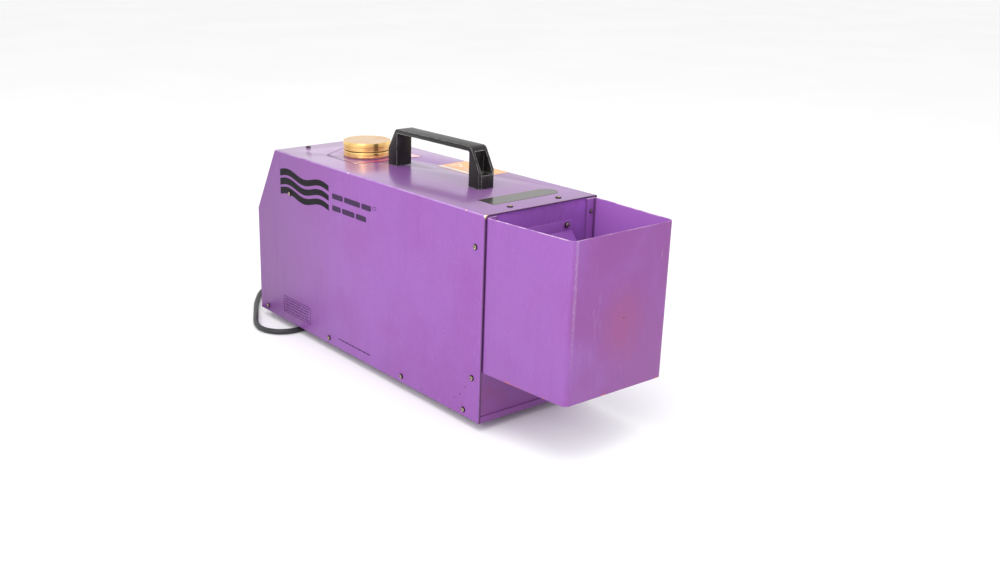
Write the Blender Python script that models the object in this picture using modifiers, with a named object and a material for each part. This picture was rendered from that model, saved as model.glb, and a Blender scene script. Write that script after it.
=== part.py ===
"""Haze generator (fog machine) with a sheet metal case, bridge handle, brass filler cap and outlet hood.

Metres, +Z up, +X forward, towards the outlet hood. The origin is under the middle of the machine, on the
surface that its rubber feet stand on.
"""
import math

import bmesh
import bpy
from mathutils import Matrix, Vector

# Driving dimensions.
BODY_LENGTH = 0.603
BODY_WIDTH = 0.203
BODY_HEIGHT = 0.2945
CHAMFER_LENGTH = 0.063
CHAMFER_DROP = 0.111
FOOT_HEIGHT = 0.012
HOOD_LENGTH = 0.148
SHEET = 0.0015
GAP = 0.0003
PANEL_INSET = 0.002

# The case's own stations. REAR is the cover's rear edge, FRONT its front edge, BASE its bottom edge.
REAR = -(BODY_LENGTH + HOOD_LENGTH) / 2
FRONT = REAR + BODY_LENGTH
BASE = FOOT_HEIGHT
TOP = BASE + BODY_HEIGHT
HALF = BODY_WIDTH / 2
INNER_HALF = HALF - SHEET - GAP
INNER_TOP = TOP - SHEET - GAP
TRAY_FLOOR = BASE + 0.0005 + SHEET
PAN_BOTTOM = TRAY_FLOOR + GAP
PAN_DEPTH = 0.045
LIP_HEIGHT = 0.009

# Filler.
FILLER_X = REAR + 0.187
FILLER_RADIUS = 0.03825
NECK_BORE = 0.025
NECK_HEIGHT = 0.0100
GASKET_HEIGHT = 0.0012
CAP_HEIGHT = 0.0140
PLUG_DEPTH = 0.014

# Carrying handle.
HANDLE_WIDTH = 0.028
HANDLE_HEIGHT = 0.058
HANDLE_BAR = 0.0055
HANDLE_REAR = REAR + 0.263
HANDLE_FRONT = REAR + 0.488
HANDLE_FOOT = 0.0255
HANDLE_KNEE = 0.0195

# Outlet.
HOOD_BOTTOM = BASE + 0.0757
HOOD_TOP = BASE + 0.2915
HOOD_REAR_HALF = 0.0995
HOOD_FRONT_HALF = 0.0895
HOOD_FLANGE = 0.0170
PANEL_FACE = FRONT - PANEL_INSET
COWL_HALF = 0.056
COWL_TOP = BASE + 0.266
COWL_BEND = BASE + 0.2505
COWL_LOW = BASE + 0.177
COWL_REACH = 0.064
FAN_Z = BASE + 0.165
FAN_SIZE = 0.092
FAN_BORE = 0.044
FAN_DEPTH = 0.025
FAN_REAR = PANEL_FACE - SHEET - GAP - FAN_DEPTH

# Reservoir.
TANK_REAR = REAR + 0.098
TANK_FRONT = REAR + 0.262
TANK_HALF = 0.088
TANK_BOTTOM = PAN_BOTTOM + 0.0003
TANK_TOP = BASE + 0.2605
TANK_WALL = 0.002
ATOMISER_Y = -0.035
ATOMISER_Z = BASE + 0.050

# Compressor.
MOTOR_Z = BASE + 0.064
MOTOR_RADIUS = 0.044
MOTOR_REAR = REAR + 0.362
MOTOR_FRONT = REAR + 0.500

# Mains cord.
CORD_RADIUS = 0.0045
CORD_EXIT = Vector((REAR - 0.045, 0.024, BASE + 0.032))
COIL_CENTRE = Vector((REAR - 0.083, 0.098))
COIL_INNER = 0.0385
COIL_OUTER = 0.0642
COIL_HEIGHT = 0.0186
PLUG_START = Vector((REAR - 0.1423, 0.0617, 0.0140))

# Cover screws: distance from the rear face and height above the case's bottom edge.
SIDE_SCREWS = (
    (0.0248, 0.0093),
    (0.2232, 0.0093),
    (0.4223, 0.0093),
    (0.5680, 0.0093),
    (0.5847, 0.0622),
    (0.5847, 0.2484),
    (0.1086, 0.2285),
)
TOP_SCREWS = ((0.0755, -0.0435), (0.0755, 0.0435), (0.5855, -0.0440), (0.5855, 0.0440))
SCREW_HOLE = 0.0024

for old in list(bpy.data.objects):
    bpy.data.objects.remove(old, do_unlink=True)

parts = bpy.data.collections.new("haze_generator")
bpy.context.scene.collection.children.link(parts)
cutters = bpy.data.collections.new("cutters")
bpy.context.scene.collection.children.link(cutters)


# Materials.
def material(name, colour, roughness, metallic=0.0, alpha=1.0):
    """A Principled material, made once and then shared by name."""
    made = bpy.data.materials.get(name)
    if made:
        return made
    made = bpy.data.materials.new(name)
    made.use_nodes = True
    shader = made.node_tree.nodes["Principled BSDF"]
    shader.inputs["Base Color"].default_value = (*colour, 1.0)
    shader.inputs["Roughness"].default_value = roughness
    shader.inputs["Metallic"].default_value = metallic
    shader.inputs["Alpha"].default_value = alpha
    return made


def purple_paint(name):
    return material(name, (0.36, 0.15, 0.52), 0.35)


def zinc_sheet(name):
    return material(name, (0.55, 0.56, 0.58), 0.40, 0.9)


def black_plastic(name):
    return material(name, (0.03, 0.03, 0.035), 0.55)


def black_rubber(name):
    return material(name, (0.02, 0.02, 0.02), 0.85)


def brass_metal(name):
    return material(name, (0.60, 0.42, 0.16), 0.30, 1.0)


def steel_metal(name):
    return material(name, (0.35, 0.34, 0.33), 0.35, 1.0)


# Modelling helpers.
def add_object(name, mesh, collection=parts):
    """Link a mesh to the scene under a name, and hide it if it is a cutter."""
    made = bpy.data.objects.new(name, mesh)
    collection.objects.link(made)
    if collection == cutters:
        made.hide_render = True
        made.display_type = "WIRE"
    return made


def mesh_object(name, shape, collection=parts):
    """Turn a bmesh into an object and free the bmesh."""
    mesh = bpy.data.meshes.new(name)
    shape.to_mesh(mesh)
    shape.free()
    return add_object(name, mesh, collection)


def finish(made, look, smooth=False):
    """Give an object its material, and smooth shading if it is round."""
    made.data.materials.append(look(made.name))
    if smooth:
        made.data.shade_smooth()
        made.data.set_sharp_from_angle(angle=math.radians(35))
    return made


def block(name, low, high, collection=parts):
    """A box between two corners, from a unit cube."""
    shape = bmesh.new()
    bmesh.ops.create_cube(shape, size=1.0)
    size = [b - a for a, b in zip(low, high)]
    middle = [(a + b) / 2 for a, b in zip(low, high)]
    bmesh.ops.scale(shape, vec=size, verts=shape.verts)
    bmesh.ops.translate(shape, vec=middle, verts=shape.verts)
    return mesh_object(name, shape, collection)


def rod(name, start, end, radius, sides=16, collection=parts, end_radius=None):
    """A round bar, or a cone with end_radius, between two points."""
    start = Vector(start)
    run = Vector(end) - start
    shape = bmesh.new()
    bmesh.ops.create_cone(
        shape,
        cap_ends=True,
        segments=sides,
        radius1=radius,
        radius2=radius if end_radius is None else end_radius,
        depth=run.length,
    )
    turn = run.to_track_quat("Z", "Y").to_matrix().to_4x4()
    bmesh.ops.transform(shape, matrix=Matrix.Translation(start + run / 2) @ turn, verts=shape.verts)
    return mesh_object(name, shape, collection)


def turned(name, profile, steps, closed=False, collection=parts):
    """A turned piece: a profile at +X, from its top down its outer side, swept round Z."""
    mesh = bpy.data.meshes.new(name)
    edges = [(i, i + 1) for i in range(len(profile) - 1)]
    if closed:
        edges.append((len(profile) - 1, 0))
    mesh.from_pydata([(r, 0, z) for r, z in profile], edges, [])
    made = add_object(name, mesh, collection)
    screw = made.modifiers.new("turn", "SCREW")
    screw.steps = steps
    screw.render_steps = steps
    screw.use_merge_vertices = True
    screw.merge_threshold = 0.00001
    screw.use_smooth_shade = True
    return made


def thicken(made, thickness=SHEET, offset=-1.0):
    """Make an open surface into sheet."""
    solid = made.modifiers.new("sheet", "SOLIDIFY")
    solid.thickness = thickness
    solid.offset = offset
    solid.use_even_offset = True
    return made


def soften(made, width, segments=1):
    """Bevel the sharp edges."""
    bevel = made.modifiers.new("soften", "BEVEL")
    bevel.width = width
    bevel.segments = segments
    bevel.limit_method = "ANGLE"
    bevel.angle_limit = math.radians(40)
    return made


def cut(made, cutter):
    """Take a cutter's shape out of an object."""
    tool = made.modifiers.new("cut", "BOOLEAN")
    tool.operation = "DIFFERENCE"
    tool.object = cutter
    return made


def join(made, addition):
    """Add another closed shape to an object."""
    tool = made.modifiers.new("join", "BOOLEAN")
    tool.operation = "UNION"
    tool.object = addition
    return made


def place(made, location, turn=(0.0, 0.0, 0.0), parent=None):
    """Set an object's place, and the object that carries it."""
    made.parent = parent
    made.location = location
    made.rotation_euler = turn
    return made


def arc(centre, radius, start, end, count):
    """Points on an arc, with the angles in degrees."""
    angles = [math.radians(start + (end - start) * i / (count - 1)) for i in range(count)]
    return [(centre[0] + radius * math.cos(a), centre[1] + radius * math.sin(a)) for a in angles]


def rounded(points, radii, count=4):
    """An open outline whose corners are arcs of the given radii."""
    made = [Vector(points[0])]
    for before, corner, after, radius in zip(points, points[1:], points[2:], radii):
        corner = Vector(corner)
        to_before = (Vector(before) - corner).normalized()
        to_after = (Vector(after) - corner).normalized()
        half_angle = to_before.angle(to_after) / 2
        reach = radius / math.tan(half_angle)
        middle = corner + (to_before + to_after).normalized() * radius / math.sin(half_angle)
        first = corner + to_before * reach - middle
        sweep = first.angle_signed(corner + to_after * reach - middle)
        for i in range(count + 1):
            made.append(middle + Matrix.Rotation(-sweep * i / count, 2) @ first)
    made.append(Vector(points[-1]))
    return made


def strip(name, outline, low, high, collection=parts):
    """An open sheet that follows an outline in X and Y, between two heights."""
    mesh = bpy.data.meshes.new(name)
    count = len(outline)
    points = [(p[0], p[1], low) for p in outline] + [(p[0], p[1], high) for p in outline]
    faces = [(i, i + 1, count + i + 1, count + i) for i in range(count - 1)]
    mesh.from_pydata(points, [], faces)
    return add_object(name, mesh, collection)


def plate(name, outlines, thickness):
    """A flat plate in X and Y, thick along Z and centred on it: the first outline is its rim."""
    curve = bpy.data.curves.new(name, "CURVE")
    curve.dimensions = "2D"
    curve.fill_mode = "BOTH"
    curve.extrude = thickness / 2
    for outline in outlines:
        spline = curve.splines.new("POLY")
        spline.points.add(len(outline) - 1)
        for point, place_at in zip(spline.points, outline):
            point.co = (place_at[0], place_at[1], 0, 1)
        spline.use_cyclic_u = True
    return as_mesh(add_object(name, curve))


def as_mesh(made):
    """Replace a curve object with a closed mesh object of the same name."""
    name = made.name
    bpy.context.view_layer.update()
    graph = bpy.context.evaluated_depsgraph_get()
    mesh = bpy.data.meshes.new_from_object(made.evaluated_get(graph))
    where = made.matrix_world.copy()
    bpy.data.objects.remove(made, do_unlink=True)
    shape = bmesh.new()
    shape.from_mesh(mesh)
    bmesh.ops.remove_doubles(shape, verts=shape.verts, dist=0.00001)
    bmesh.ops.recalc_face_normals(shape, faces=shape.faces)
    shape.to_mesh(mesh)
    shape.free()
    mesh.name = name
    mesh.materials.clear()
    solid = add_object(name, mesh)
    solid.matrix_world = where
    return solid


def smooth_route(points, spacing):
    """Evenly spaced points on a Catmull-Rom curve through the route's own points."""
    points = [Vector(p) for p in points]
    ends = [2 * points[0] - points[1]] + points + [2 * points[-1] - points[-2]]
    fine = []
    for a, b, c, d in zip(ends, ends[1:], ends[2:], ends[3:]):
        for i in range(24):
            t = i / 24
            fine.append(
                0.5 * ((2 * b) + (c - a) * t + (2 * a - 5 * b + 4 * c - d) * t**2
                       + (3 * b - a - 3 * c + d) * t**3)
            )
    fine.append(points[-1])
    total = sum((q - p).length for p, q in zip(fine, fine[1:]))
    count = max(2, round(total / spacing))
    made = [fine[0]]
    walked = 0.0
    for p, q in zip(fine, fine[1:]):
        step = (q - p).length
        while walked + step >= total * len(made) / count and len(made) < count:
            share = (total * len(made) / count - walked) / step
            made.append(p.lerp(q, share))
        walked += step
    made.append(fine[-1])
    return made


def tube(name, points, radius, resolution=2):
    """A round tube along a list of points."""
    curve = bpy.data.curves.new(name, "CURVE")
    curve.dimensions = "3D"
    curve.bevel_depth = radius
    curve.bevel_resolution = resolution
    curve.use_fill_caps = True
    spline = curve.splines.new("POLY")
    spline.points.add(len(points) - 1)
    for point, place_at in zip(spline.points, points):
        point.co = (*place_at, 1)
    return add_object(name, curve)


def case_shape(rear, front, half, bottom, top, inset):
    """A block with the case's outline: its upper rear corner is cut off along the sloping panel."""
    shape = bmesh.new()
    bmesh.ops.create_cube(shape, size=1.0)
    bmesh.ops.scale(shape, vec=(front - rear, 2 * half, top - bottom), verts=shape.verts)
    bmesh.ops.translate(
        shape, vec=((front + rear) / 2, 0, (top + bottom) / 2), verts=shape.verts
    )
    outward = Vector((-CHAMFER_DROP, 0, CHAMFER_LENGTH)).normalized()
    slope_point = Vector((REAR, 0, TOP - CHAMFER_DROP)) - outward * inset
    slice_open(shape, slope_point, outward, True)
    return shape


def slice_open(shape, point, outward, capped):
    """Cut off what lies beyond a plane, and close the cut if it is to be capped."""
    sliced = bmesh.ops.bisect_plane(
        shape,
        geom=list(shape.verts) + list(shape.edges) + list(shape.faces),
        plane_co=point,
        plane_no=outward,
        clear_outer=True,
    )
    if capped:
        rim = [e for e in sliced["geom_cut"] if isinstance(e, bmesh.types.BMEdge)]
        bmesh.ops.contextual_create(shape, geom=rim)
        bmesh.ops.recalc_face_normals(shape, faces=shape.faces)


def open_faces(shape, directions):
    """Delete the faces that look in any of the given directions."""
    shape.normal_update()
    gone = [f for f in shape.faces if any(f.normal.dot(Vector(d)) > 0.98 for d in directions)]
    bmesh.ops.delete(shape, geom=gone, context="FACES")


# The sloping panel's own frame: its X runs up the slope, its Y across the machine, its Z out of the panel.
SLOPE_OUT = Vector((-CHAMFER_DROP, 0, CHAMFER_LENGTH)).normalized()
SLOPE_MIDDLE = Vector((REAR + CHAMFER_LENGTH / 2, 0, TOP - CHAMFER_DROP / 2)) - SLOPE_OUT * PANEL_INSET


def slope_frame():
    """An empty on the sloping panel's outer face, which carries the controls."""
    made = bpy.data.objects.new("slope_frame", None)
    parts.objects.link(made)
    up = Vector((CHAMFER_LENGTH, 0, CHAMFER_DROP)).normalized()
    across = SLOPE_OUT.cross(up)
    turn = Matrix((up, across, SLOPE_OUT)).transposed().to_4x4()
    made.matrix_world = Matrix.Translation(SLOPE_MIDDLE) @ turn
    return made


SLOPE = slope_frame()

# Controls on the slope: up the slope and across it.
SWITCH_AT = (0.004, 0.060)
LAMP_AT = (0.036, 0.060)
GAUGE_AT = (0.0300, 0.0)
REGULATOR_AT = (-0.0160, 0.0)
SPEED_AT = (0.004, -0.060)
DIAL_START = math.radians(135)
SWITCH_LENGTH = 0.0285
SWITCH_WIDTH = 0.0190
ROCKER_TILT = math.radians(9)


# Case.
def screw_hole_cutters():
    """One closed bar for each row of holes through the case's sides, and one for each top screw."""
    made = []
    for number, (along, up) in enumerate(SIDE_SCREWS):
        at = (REAR + along, BASE + up)
        made.append(
            rod(f"side_hole_{number}", (at[0], -HALF - 0.01, at[1]), (at[0], HALF + 0.01, at[1]),
                SCREW_HOLE, 8, cutters)
        )
    for number, (along, across) in enumerate(TOP_SCREWS):
        made.append(
            rod(f"top_hole_{number}", (REAR + along, across, INNER_TOP - 0.01),
                (REAR + along, across, TOP + 0.01), SCREW_HOLE, 8, cutters)
        )
    return made


def cover_shell(holes):
    """Top and both sides of the case, folded from one sheet."""
    shape = case_shape(REAR, FRONT, HALF, BASE, TOP, 0)
    open_faces(shape, ((1, 0, 0), (-1, 0, 0), (0, 0, -1), SLOPE_OUT))
    made = soften(mesh_object("cover_shell", shape), 0.002, 2)
    thicken(made)
    for hole in holes:
        cut(made, hole)
    cut(made, rod("filler_hole", (FILLER_X, 0, TOP - 0.01), (FILLER_X, 0, TOP + 0.01), 0.0295, 32, cutters))
    return finish(made, purple_paint)


def base_tray(holes):
    """Floor of the case, with low side flanges between the end panels and a lip over the front panel."""
    shape = bmesh.new()
    bmesh.ops.create_cube(shape, size=1.0)
    low = BASE + 0.0005
    high = BASE + 0.028
    size = (BODY_LENGTH - 2 * PANEL_INSET, 2 * INNER_HALF, high - low)
    bmesh.ops.scale(shape, vec=size, verts=shape.verts)
    middle = ((REAR + FRONT) / 2, 0, (low + high) / 2)
    bmesh.ops.translate(shape, vec=middle, verts=shape.verts)
    open_faces(shape, ((1, 0, 0), (-1, 0, 0), (0, 0, 1)))
    made = thicken(mesh_object("base_tray", shape))
    reach = PAN_DEPTH + PANEL_INSET + 0.001
    for name, start, end in (
        ("tray_rear", REAR - 0.01, REAR + reach + 0.004),
        ("tray_front", FRONT - reach, FRONT + 0.01),
    ):
        cut(made, block(name, (start, -HALF, TRAY_FLOOR), (end, HALF, high + 0.01), cutters))
    lip = PANEL_FACE + GAP
    tongue_low = (PANEL_FACE - 0.002, -INNER_HALF, low)
    join(made, block("tray_tongue", tongue_low, (lip + SHEET, INNER_HALF, TRAY_FLOOR), cutters))
    join(made, block("tray_lip", (lip, -INNER_HALF, low), (lip + SHEET, INNER_HALF, low + LIP_HEIGHT), cutters))
    for hole in holes:
        cut(made, hole)
    for x, y in foot_places():
        cut(made, rod("foot_hole", (x, y, BASE - 0.01), (x, y, BASE + 0.01), SCREW_HOLE, 8, cutters))
    return finish(made, zinc_sheet)


def front_panel(holes):
    """Panned panel behind the cover's front edge, with the fan's opening."""
    shape = case_shape(PANEL_FACE - PAN_DEPTH, PANEL_FACE, INNER_HALF, PAN_BOTTOM, INNER_TOP, 0)
    open_faces(shape, ((-1, 0, 0),))
    made = thicken(mesh_object("front_panel", shape))
    ends = ((PANEL_FACE - 0.01, 0, FAN_Z), (PANEL_FACE + 0.01, 0, FAN_Z))
    cut(made, rod("fan_opening", *ends, FAN_BORE, 32, cutters))
    for hole in holes:
        cut(made, hole)
    return finish(made, purple_paint)


def rear_panel(holes):
    """Rear wall, sloping control panel and top flange in one folded pan."""
    shape = case_shape(REAR + PANEL_INSET, REAR + 0.1, INNER_HALF, PAN_BOTTOM, INNER_TOP, PANEL_INSET)
    low = Vector((REAR + PAN_DEPTH + PANEL_INSET, 0, PAN_BOTTOM))
    high = Vector((REAR + 0.088, 0, INNER_TOP))
    forward = Vector((high.z - low.z, 0, low.x - high.x)).normalized()
    slice_open(shape, low, forward, False)
    made = thicken(mesh_object("rear_panel", shape))
    for hole in holes:
        cut(made, hole)
    inside = Vector((0.03, 0, 0))
    exit_at = Vector((REAR, CORD_EXIT.y, CORD_EXIT.z))
    cut(made, rod("gland_hole", exit_at - inside, exit_at + inside, 0.0085, 20, cutters))
    for number in range(6):
        z = BASE + 0.090 + 0.013 * number
        low = (REAR - 0.01, -0.070, z)
        cut(made, block(f"vent_{number}", low, (REAR + 0.01, 0.070, z + 0.005), cutters))
    for name, at, radius in (
        ("lamp_hole", LAMP_AT, 0.0047),
        ("gauge_hole", GAUGE_AT, 0.0208),
        ("regulator_hole", REGULATOR_AT, 0.0083),
        ("speed_hole", SPEED_AT, 0.0045),
    ):
        hole = rod(name, (0, 0, -0.008), (0, 0, 0.008), radius, 20, cutters)
        cut(made, place(hole, (at[0], at[1], 0), parent=SLOPE))
    half = (SWITCH_LENGTH / 2 - 0.002, SWITCH_WIDTH / 2 - 0.002)
    window = block("switch_hole", (-half[0], -half[1], -0.008), (half[0], half[1], 0.008), cutters)
    cut(made, place(window, (*SWITCH_AT, 0), parent=SLOPE))
    return finish(made, purple_paint)


def foot_places():
    """Centres of the four feet."""
    return [(x, y) for x in (REAR + 0.057, FRONT - 0.056) for y in (-HALF + 0.042, HALF - 0.042)]


def rubber_feet():
    """Four turned feet, each with a stud that goes up through the tray."""
    names = ("foot_rear_right", "foot_rear_left", "foot_front_right", "foot_front_left")
    top = FOOT_HEIGHT + 0.0002
    stud = FOOT_HEIGHT + 0.0055
    profile = [(0, stud), (0.0020, stud), (0.0020, top), (0.0150, top)]
    profile += [(0.0130, 0.0008), (0.0122, 0), (0, 0)]
    for name, (x, y) in zip(names, foot_places()):
        foot = turned(name, profile, 20)
        finish(place(foot, (x, y, 0)), black_rubber)


def cover_screws():
    """Pan head screws, which all share one mesh."""
    head = 0.0042
    shank = 0.0019
    profile = [(0, 0.0024), (head, 0.0010), (head, 0.0001), (shank, 0.0001), (shank, -0.008), (0, -0.008)]
    first = None
    seats = []
    for number, (along, up) in enumerate(SIDE_SCREWS, 1):
        seats.append((f"screw_right_{number}", (REAR + along, -HALF - GAP, BASE + up), (math.pi / 2, 0, 0)))
        seats.append((f"screw_left_{number}", (REAR + along, HALF + GAP, BASE + up), (-math.pi / 2, 0, 0)))
    for number, (along, across) in enumerate(TOP_SCREWS, 1):
        seats.append((f"screw_top_{number}", (REAR + along, across, TOP + GAP), (0, 0, 0)))
    for name, at, turn in seats:
        made = turned(name, profile, 10)
        if first:
            made.data = first.data
        else:
            first = finish(made, steel_metal)
        place(made, at, turn)


# Handle.
def handle():
    """One moulded bridge: a bar between two legs that are open channels on their outer sides."""
    leg = HANDLE_FOOT
    bar_low = HANDLE_HEIGHT - HANDLE_BAR
    outline = [
        (HANDLE_REAR, 0),
        (HANDLE_REAR, HANDLE_KNEE),
        (HANDLE_REAR + 0.0225, HANDLE_HEIGHT),
        (HANDLE_FRONT - 0.0225, HANDLE_HEIGHT),
        (HANDLE_FRONT, HANDLE_KNEE),
        (HANDLE_FRONT, 0),
        (HANDLE_FRONT - leg, 0),
        (HANDLE_FRONT - leg, bar_low),
        (HANDLE_REAR + leg, bar_low),
        (HANDLE_REAR + leg, 0),
    ]
    made = plate("handle", [outline], HANDLE_WIDTH)
    place(made, (0, 0, TOP + GAP), (math.pi / 2, 0, 0))
    soften(made, 0.0008)
    rib = 0.0040
    base = TOP + GAP
    for name, outer, inner in (
        ("leg_rear", HANDLE_REAR - 0.01, HANDLE_REAR + leg - rib),
        ("leg_front", HANDLE_FRONT - leg + rib, HANDLE_FRONT + 0.01),
    ):
        low = (outer, -HANDLE_WIDTH / 2 + rib, base + HANDLE_KNEE)
        high = (inner, HANDLE_WIDTH / 2 - rib, base + bar_low)
        cut(made, block(name, low, high, cutters))
    for name, x in (("bolt_rear", HANDLE_REAR + 0.0115), ("bolt_front", HANDLE_FRONT - 0.0115)):
        cut(made, rod(name, (x, 0, base - 0.01), (x, 0, base + 0.03), 0.0032, 12, cutters))
    return finish(made, black_plastic)


# Filler.
def filler_neck():
    """Brass flange on the cover with a tube down into the reservoir."""
    top = NECK_HEIGHT
    foot = TANK_TOP - 0.008 - TOP
    profile = [
        (NECK_BORE, top),
        (FILLER_RADIUS - 0.0008, top),
        (FILLER_RADIUS, top - 0.0008),
        (FILLER_RADIUS, GAP),
        (0.0285, GAP),
        (0.0285, foot),
        (NECK_BORE, foot),
    ]
    made = turned("filler_neck", profile, 32, closed=True)
    return finish(place(made, (FILLER_X, 0, TOP)), brass_metal)


def cap_gasket():
    """Flat ring between the neck and the cap. It lifts as the cap unscrews."""
    half = (GASKET_HEIGHT - 2 * GAP) / 2
    rim = FILLER_RADIUS - 0.0006
    bore = NECK_BORE + 0.001
    made = turned("cap_gasket", [(bore, half), (rim, half), (rim, -half), (bore, -half)], 32, closed=True)
    return finish(place(made, (FILLER_X, 0, TOP + NECK_HEIGHT + GASKET_HEIGHT / 2)), black_rubber)


def filler_cap():
    """Brass screw cap with grooves round its lip and a plug that runs in the neck's bore."""
    lip = FILLER_RADIUS
    plug = NECK_BORE - 0.0003
    profile = [
        (0, CAP_HEIGHT),
        (lip - 0.0042, CAP_HEIGHT),
        (lip - 0.0012, CAP_HEIGHT - 0.0014),
        (lip, CAP_HEIGHT - 0.0036),
        (lip, CAP_HEIGHT - 0.0064),
        (lip - 0.0007, CAP_HEIGHT - 0.0070),
        (lip, CAP_HEIGHT - 0.0076),
        (lip, 0.0006),
        (lip - 0.0006, 0),
        (plug, 0),
        (plug, -PLUG_DEPTH),
        (0, -PLUG_DEPTH),
    ]
    made = turned("filler_cap", profile, 32)
    return finish(place(made, (FILLER_X, 0, TOP + NECK_HEIGHT + GASKET_HEIGHT)), brass_metal)


def reservoir():
    """Oil reservoir and settling chamber: a moulded box with openings for neck, atomiser and duct."""
    outer = block("reservoir", (TANK_REAR, -TANK_HALF, TANK_BOTTOM), (TANK_FRONT, TANK_HALF, TANK_TOP))
    wall = TANK_WALL
    hollow = block(
        "tank_hollow",
        (TANK_REAR + wall, -TANK_HALF + wall, TANK_BOTTOM + wall),
        (TANK_FRONT - wall, TANK_HALF - wall, TANK_TOP - wall),
        cutters,
    )
    cut(soften(outer, 0.003), hollow)
    ends = ((FILLER_X, 0, TANK_TOP - 0.01), (FILLER_X, 0, TANK_TOP + 0.01))
    cut(outer, rod("tank_mouth", *ends, 0.0288, 32, cutters))
    inlet_at = Vector((TANK_REAR, ATOMISER_Y, ATOMISER_Z))
    reach = Vector((0.01, 0, 0))
    cut(outer, rod("tank_inlet", inlet_at - reach, inlet_at + reach, 0.0063, 16, cutters))
    half = FAN_SIZE / 2 - 0.003
    low = (TANK_FRONT - 0.01, -half, FAN_Z - half)
    cut(outer, block("tank_outlet", low, (TANK_FRONT + 0.01, half, FAN_Z + half), cutters))
    return finish(outer, lambda name: material(name, (0.72, 0.72, 0.68), 0.5))


def reservoir_strap():
    """Sheet strap over the reservoir, held by the upper rear side screws."""
    centre = REAR + SIDE_SCREWS[-1][0]
    shape = bmesh.new()
    bmesh.ops.create_cube(shape, size=1.0)
    low = BASE + 0.205
    high = TANK_TOP + GAP + SHEET
    bmesh.ops.scale(shape, vec=(0.020, 2 * INNER_HALF, high - low), verts=shape.verts)
    bmesh.ops.translate(shape, vec=(centre, 0, (low + high) / 2), verts=shape.verts)
    open_faces(shape, ((1, 0, 0), (-1, 0, 0), (0, 0, -1)))
    made = thicken(mesh_object("reservoir_strap", shape))
    hole_z = BASE + SIDE_SCREWS[-1][1]
    cut(made, rod("strap_hole", (centre, -HALF, hole_z), (centre, HALF, hole_z), SCREW_HOLE, 8, cutters))
    return finish(made, zinc_sheet)


def atomiser():
    """Brass jet block: a threaded stem through the reservoir's rear wall with a round head inside."""
    profile = [(0, 0.030), (0.0095, 0.030), (0.0110, 0.0285), (0.0110, 0.0105), (0.0095, 0.009)]
    profile += [(0.0060, 0.009), (0.0060, -0.0065), (0.0045, -0.0065), (0.0045, -0.0130), (0, -0.0130)]
    made = turned("atomiser", profile, 20)
    place(made, (TANK_REAR + 0.001, ATOMISER_Y, ATOMISER_Z), (0, math.pi / 2, 0))
    return finish(made, brass_metal)


def haze_duct():
    """Square duct from the reservoir's outlet to the fan."""
    half = FAN_SIZE / 2
    start = TANK_FRONT + GAP
    end = FAN_REAR - GAP
    made = block("haze_duct", (start, -half, FAN_Z - half), (end, half, FAN_Z + half))
    inner = half - TANK_WALL
    low = (start - 0.01, -inner, FAN_Z - inner)
    cut(made, block("duct_bore", low, (end + 0.01, inner, FAN_Z + inner), cutters))
    return finish(made, black_plastic)


# Outlet.
def outlet_hood():
    """Tapered deflector: a sheet wrapped round three sides, open above and below, on two rear flanges."""
    seat = PANEL_FACE + GAP + SHEET / 2
    tip = FRONT + HOOD_LENGTH - SHEET / 2
    rear = HOOD_REAR_HALF - SHEET / 2
    front = HOOD_FRONT_HALF - SHEET / 2
    outline = [
        (seat, -rear + HOOD_FLANGE),
        (seat, -rear),
        (tip, -front),
        (tip, front),
        (seat, rear),
        (seat, rear - HOOD_FLANGE),
    ]
    path = rounded(outline, (0.0025, 0.0085, 0.0085, 0.0025), 3)
    made = thicken(strip("outlet_hood", path, HOOD_BOTTOM, HOOD_TOP), offset=0.0)
    return finish(made, purple_paint)


def outlet_cowl():
    """Baffle over the outlet: a flange, a sloping plate and two cheeks."""
    seat = PANEL_FACE + GAP
    low = (seat, -COWL_HALF, COWL_LOW)
    high = (FRONT + COWL_REACH, COWL_HALF, COWL_BEND)
    shape = bmesh.new()
    bmesh.ops.create_cube(shape, size=1.0)
    bmesh.ops.scale(shape, vec=[b - a for a, b in zip(low, high)], verts=shape.verts)
    bmesh.ops.translate(shape, vec=[(a + b) / 2 for a, b in zip(low, high)], verts=shape.verts)
    slope = Vector((high[2] - low[2], 0, high[0] - low[0])).normalized()
    slice_open(shape, Vector((seat, 0, COWL_BEND)), slope, True)
    open_faces(shape, ((-1, 0, 0), (0, 0, -1)))
    top_edge = [
        e for e in shape.edges
        if e.is_boundary and all(abs(v.co.z - COWL_BEND) < 0.0001 for v in e.verts)
    ]
    grown = bmesh.ops.extrude_edge_only(shape, edges=top_edge)["geom"]
    lifted = [v for v in grown if isinstance(v, bmesh.types.BMVert)]
    bmesh.ops.translate(shape, vec=(0, 0, COWL_TOP - COWL_BEND), verts=lifted)
    made = thicken(mesh_object("outlet_cowl", shape), 0.0012, 1.0)
    return finish(made, purple_paint)


def fan_frame():
    """Square fan housing with a bore, and a motor seat on three struts at its rear."""
    half = FAN_SIZE / 2
    made = block("fan_frame", (FAN_REAR, -half, FAN_Z - half), (FAN_REAR + FAN_DEPTH, half, FAN_Z + half))
    soften(made, 0.003)
    ends = ((FAN_REAR - 0.01, 0, FAN_Z), (FAN_REAR + FAN_DEPTH + 0.01, 0, FAN_Z))
    cut(made, rod("fan_bore", *ends, FAN_BORE, 32, cutters))
    seat = rod("motor_seat", (FAN_REAR, 0, FAN_Z), (FAN_REAR + 0.004, 0, FAN_Z), 0.019, 20, cutters)
    join(made, seat)
    for number in range(3):
        angle = math.radians(90 + 120 * number)
        tip = (FAN_REAR + 0.0019, 0.0455 * math.cos(angle), FAN_Z + 0.0455 * math.sin(angle))
        join(made, rod(f"strut_{number}", (FAN_REAR + 0.0019, 0, FAN_Z), tip, 0.0017, 6, cutters))
    return finish(made, black_plastic)


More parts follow.
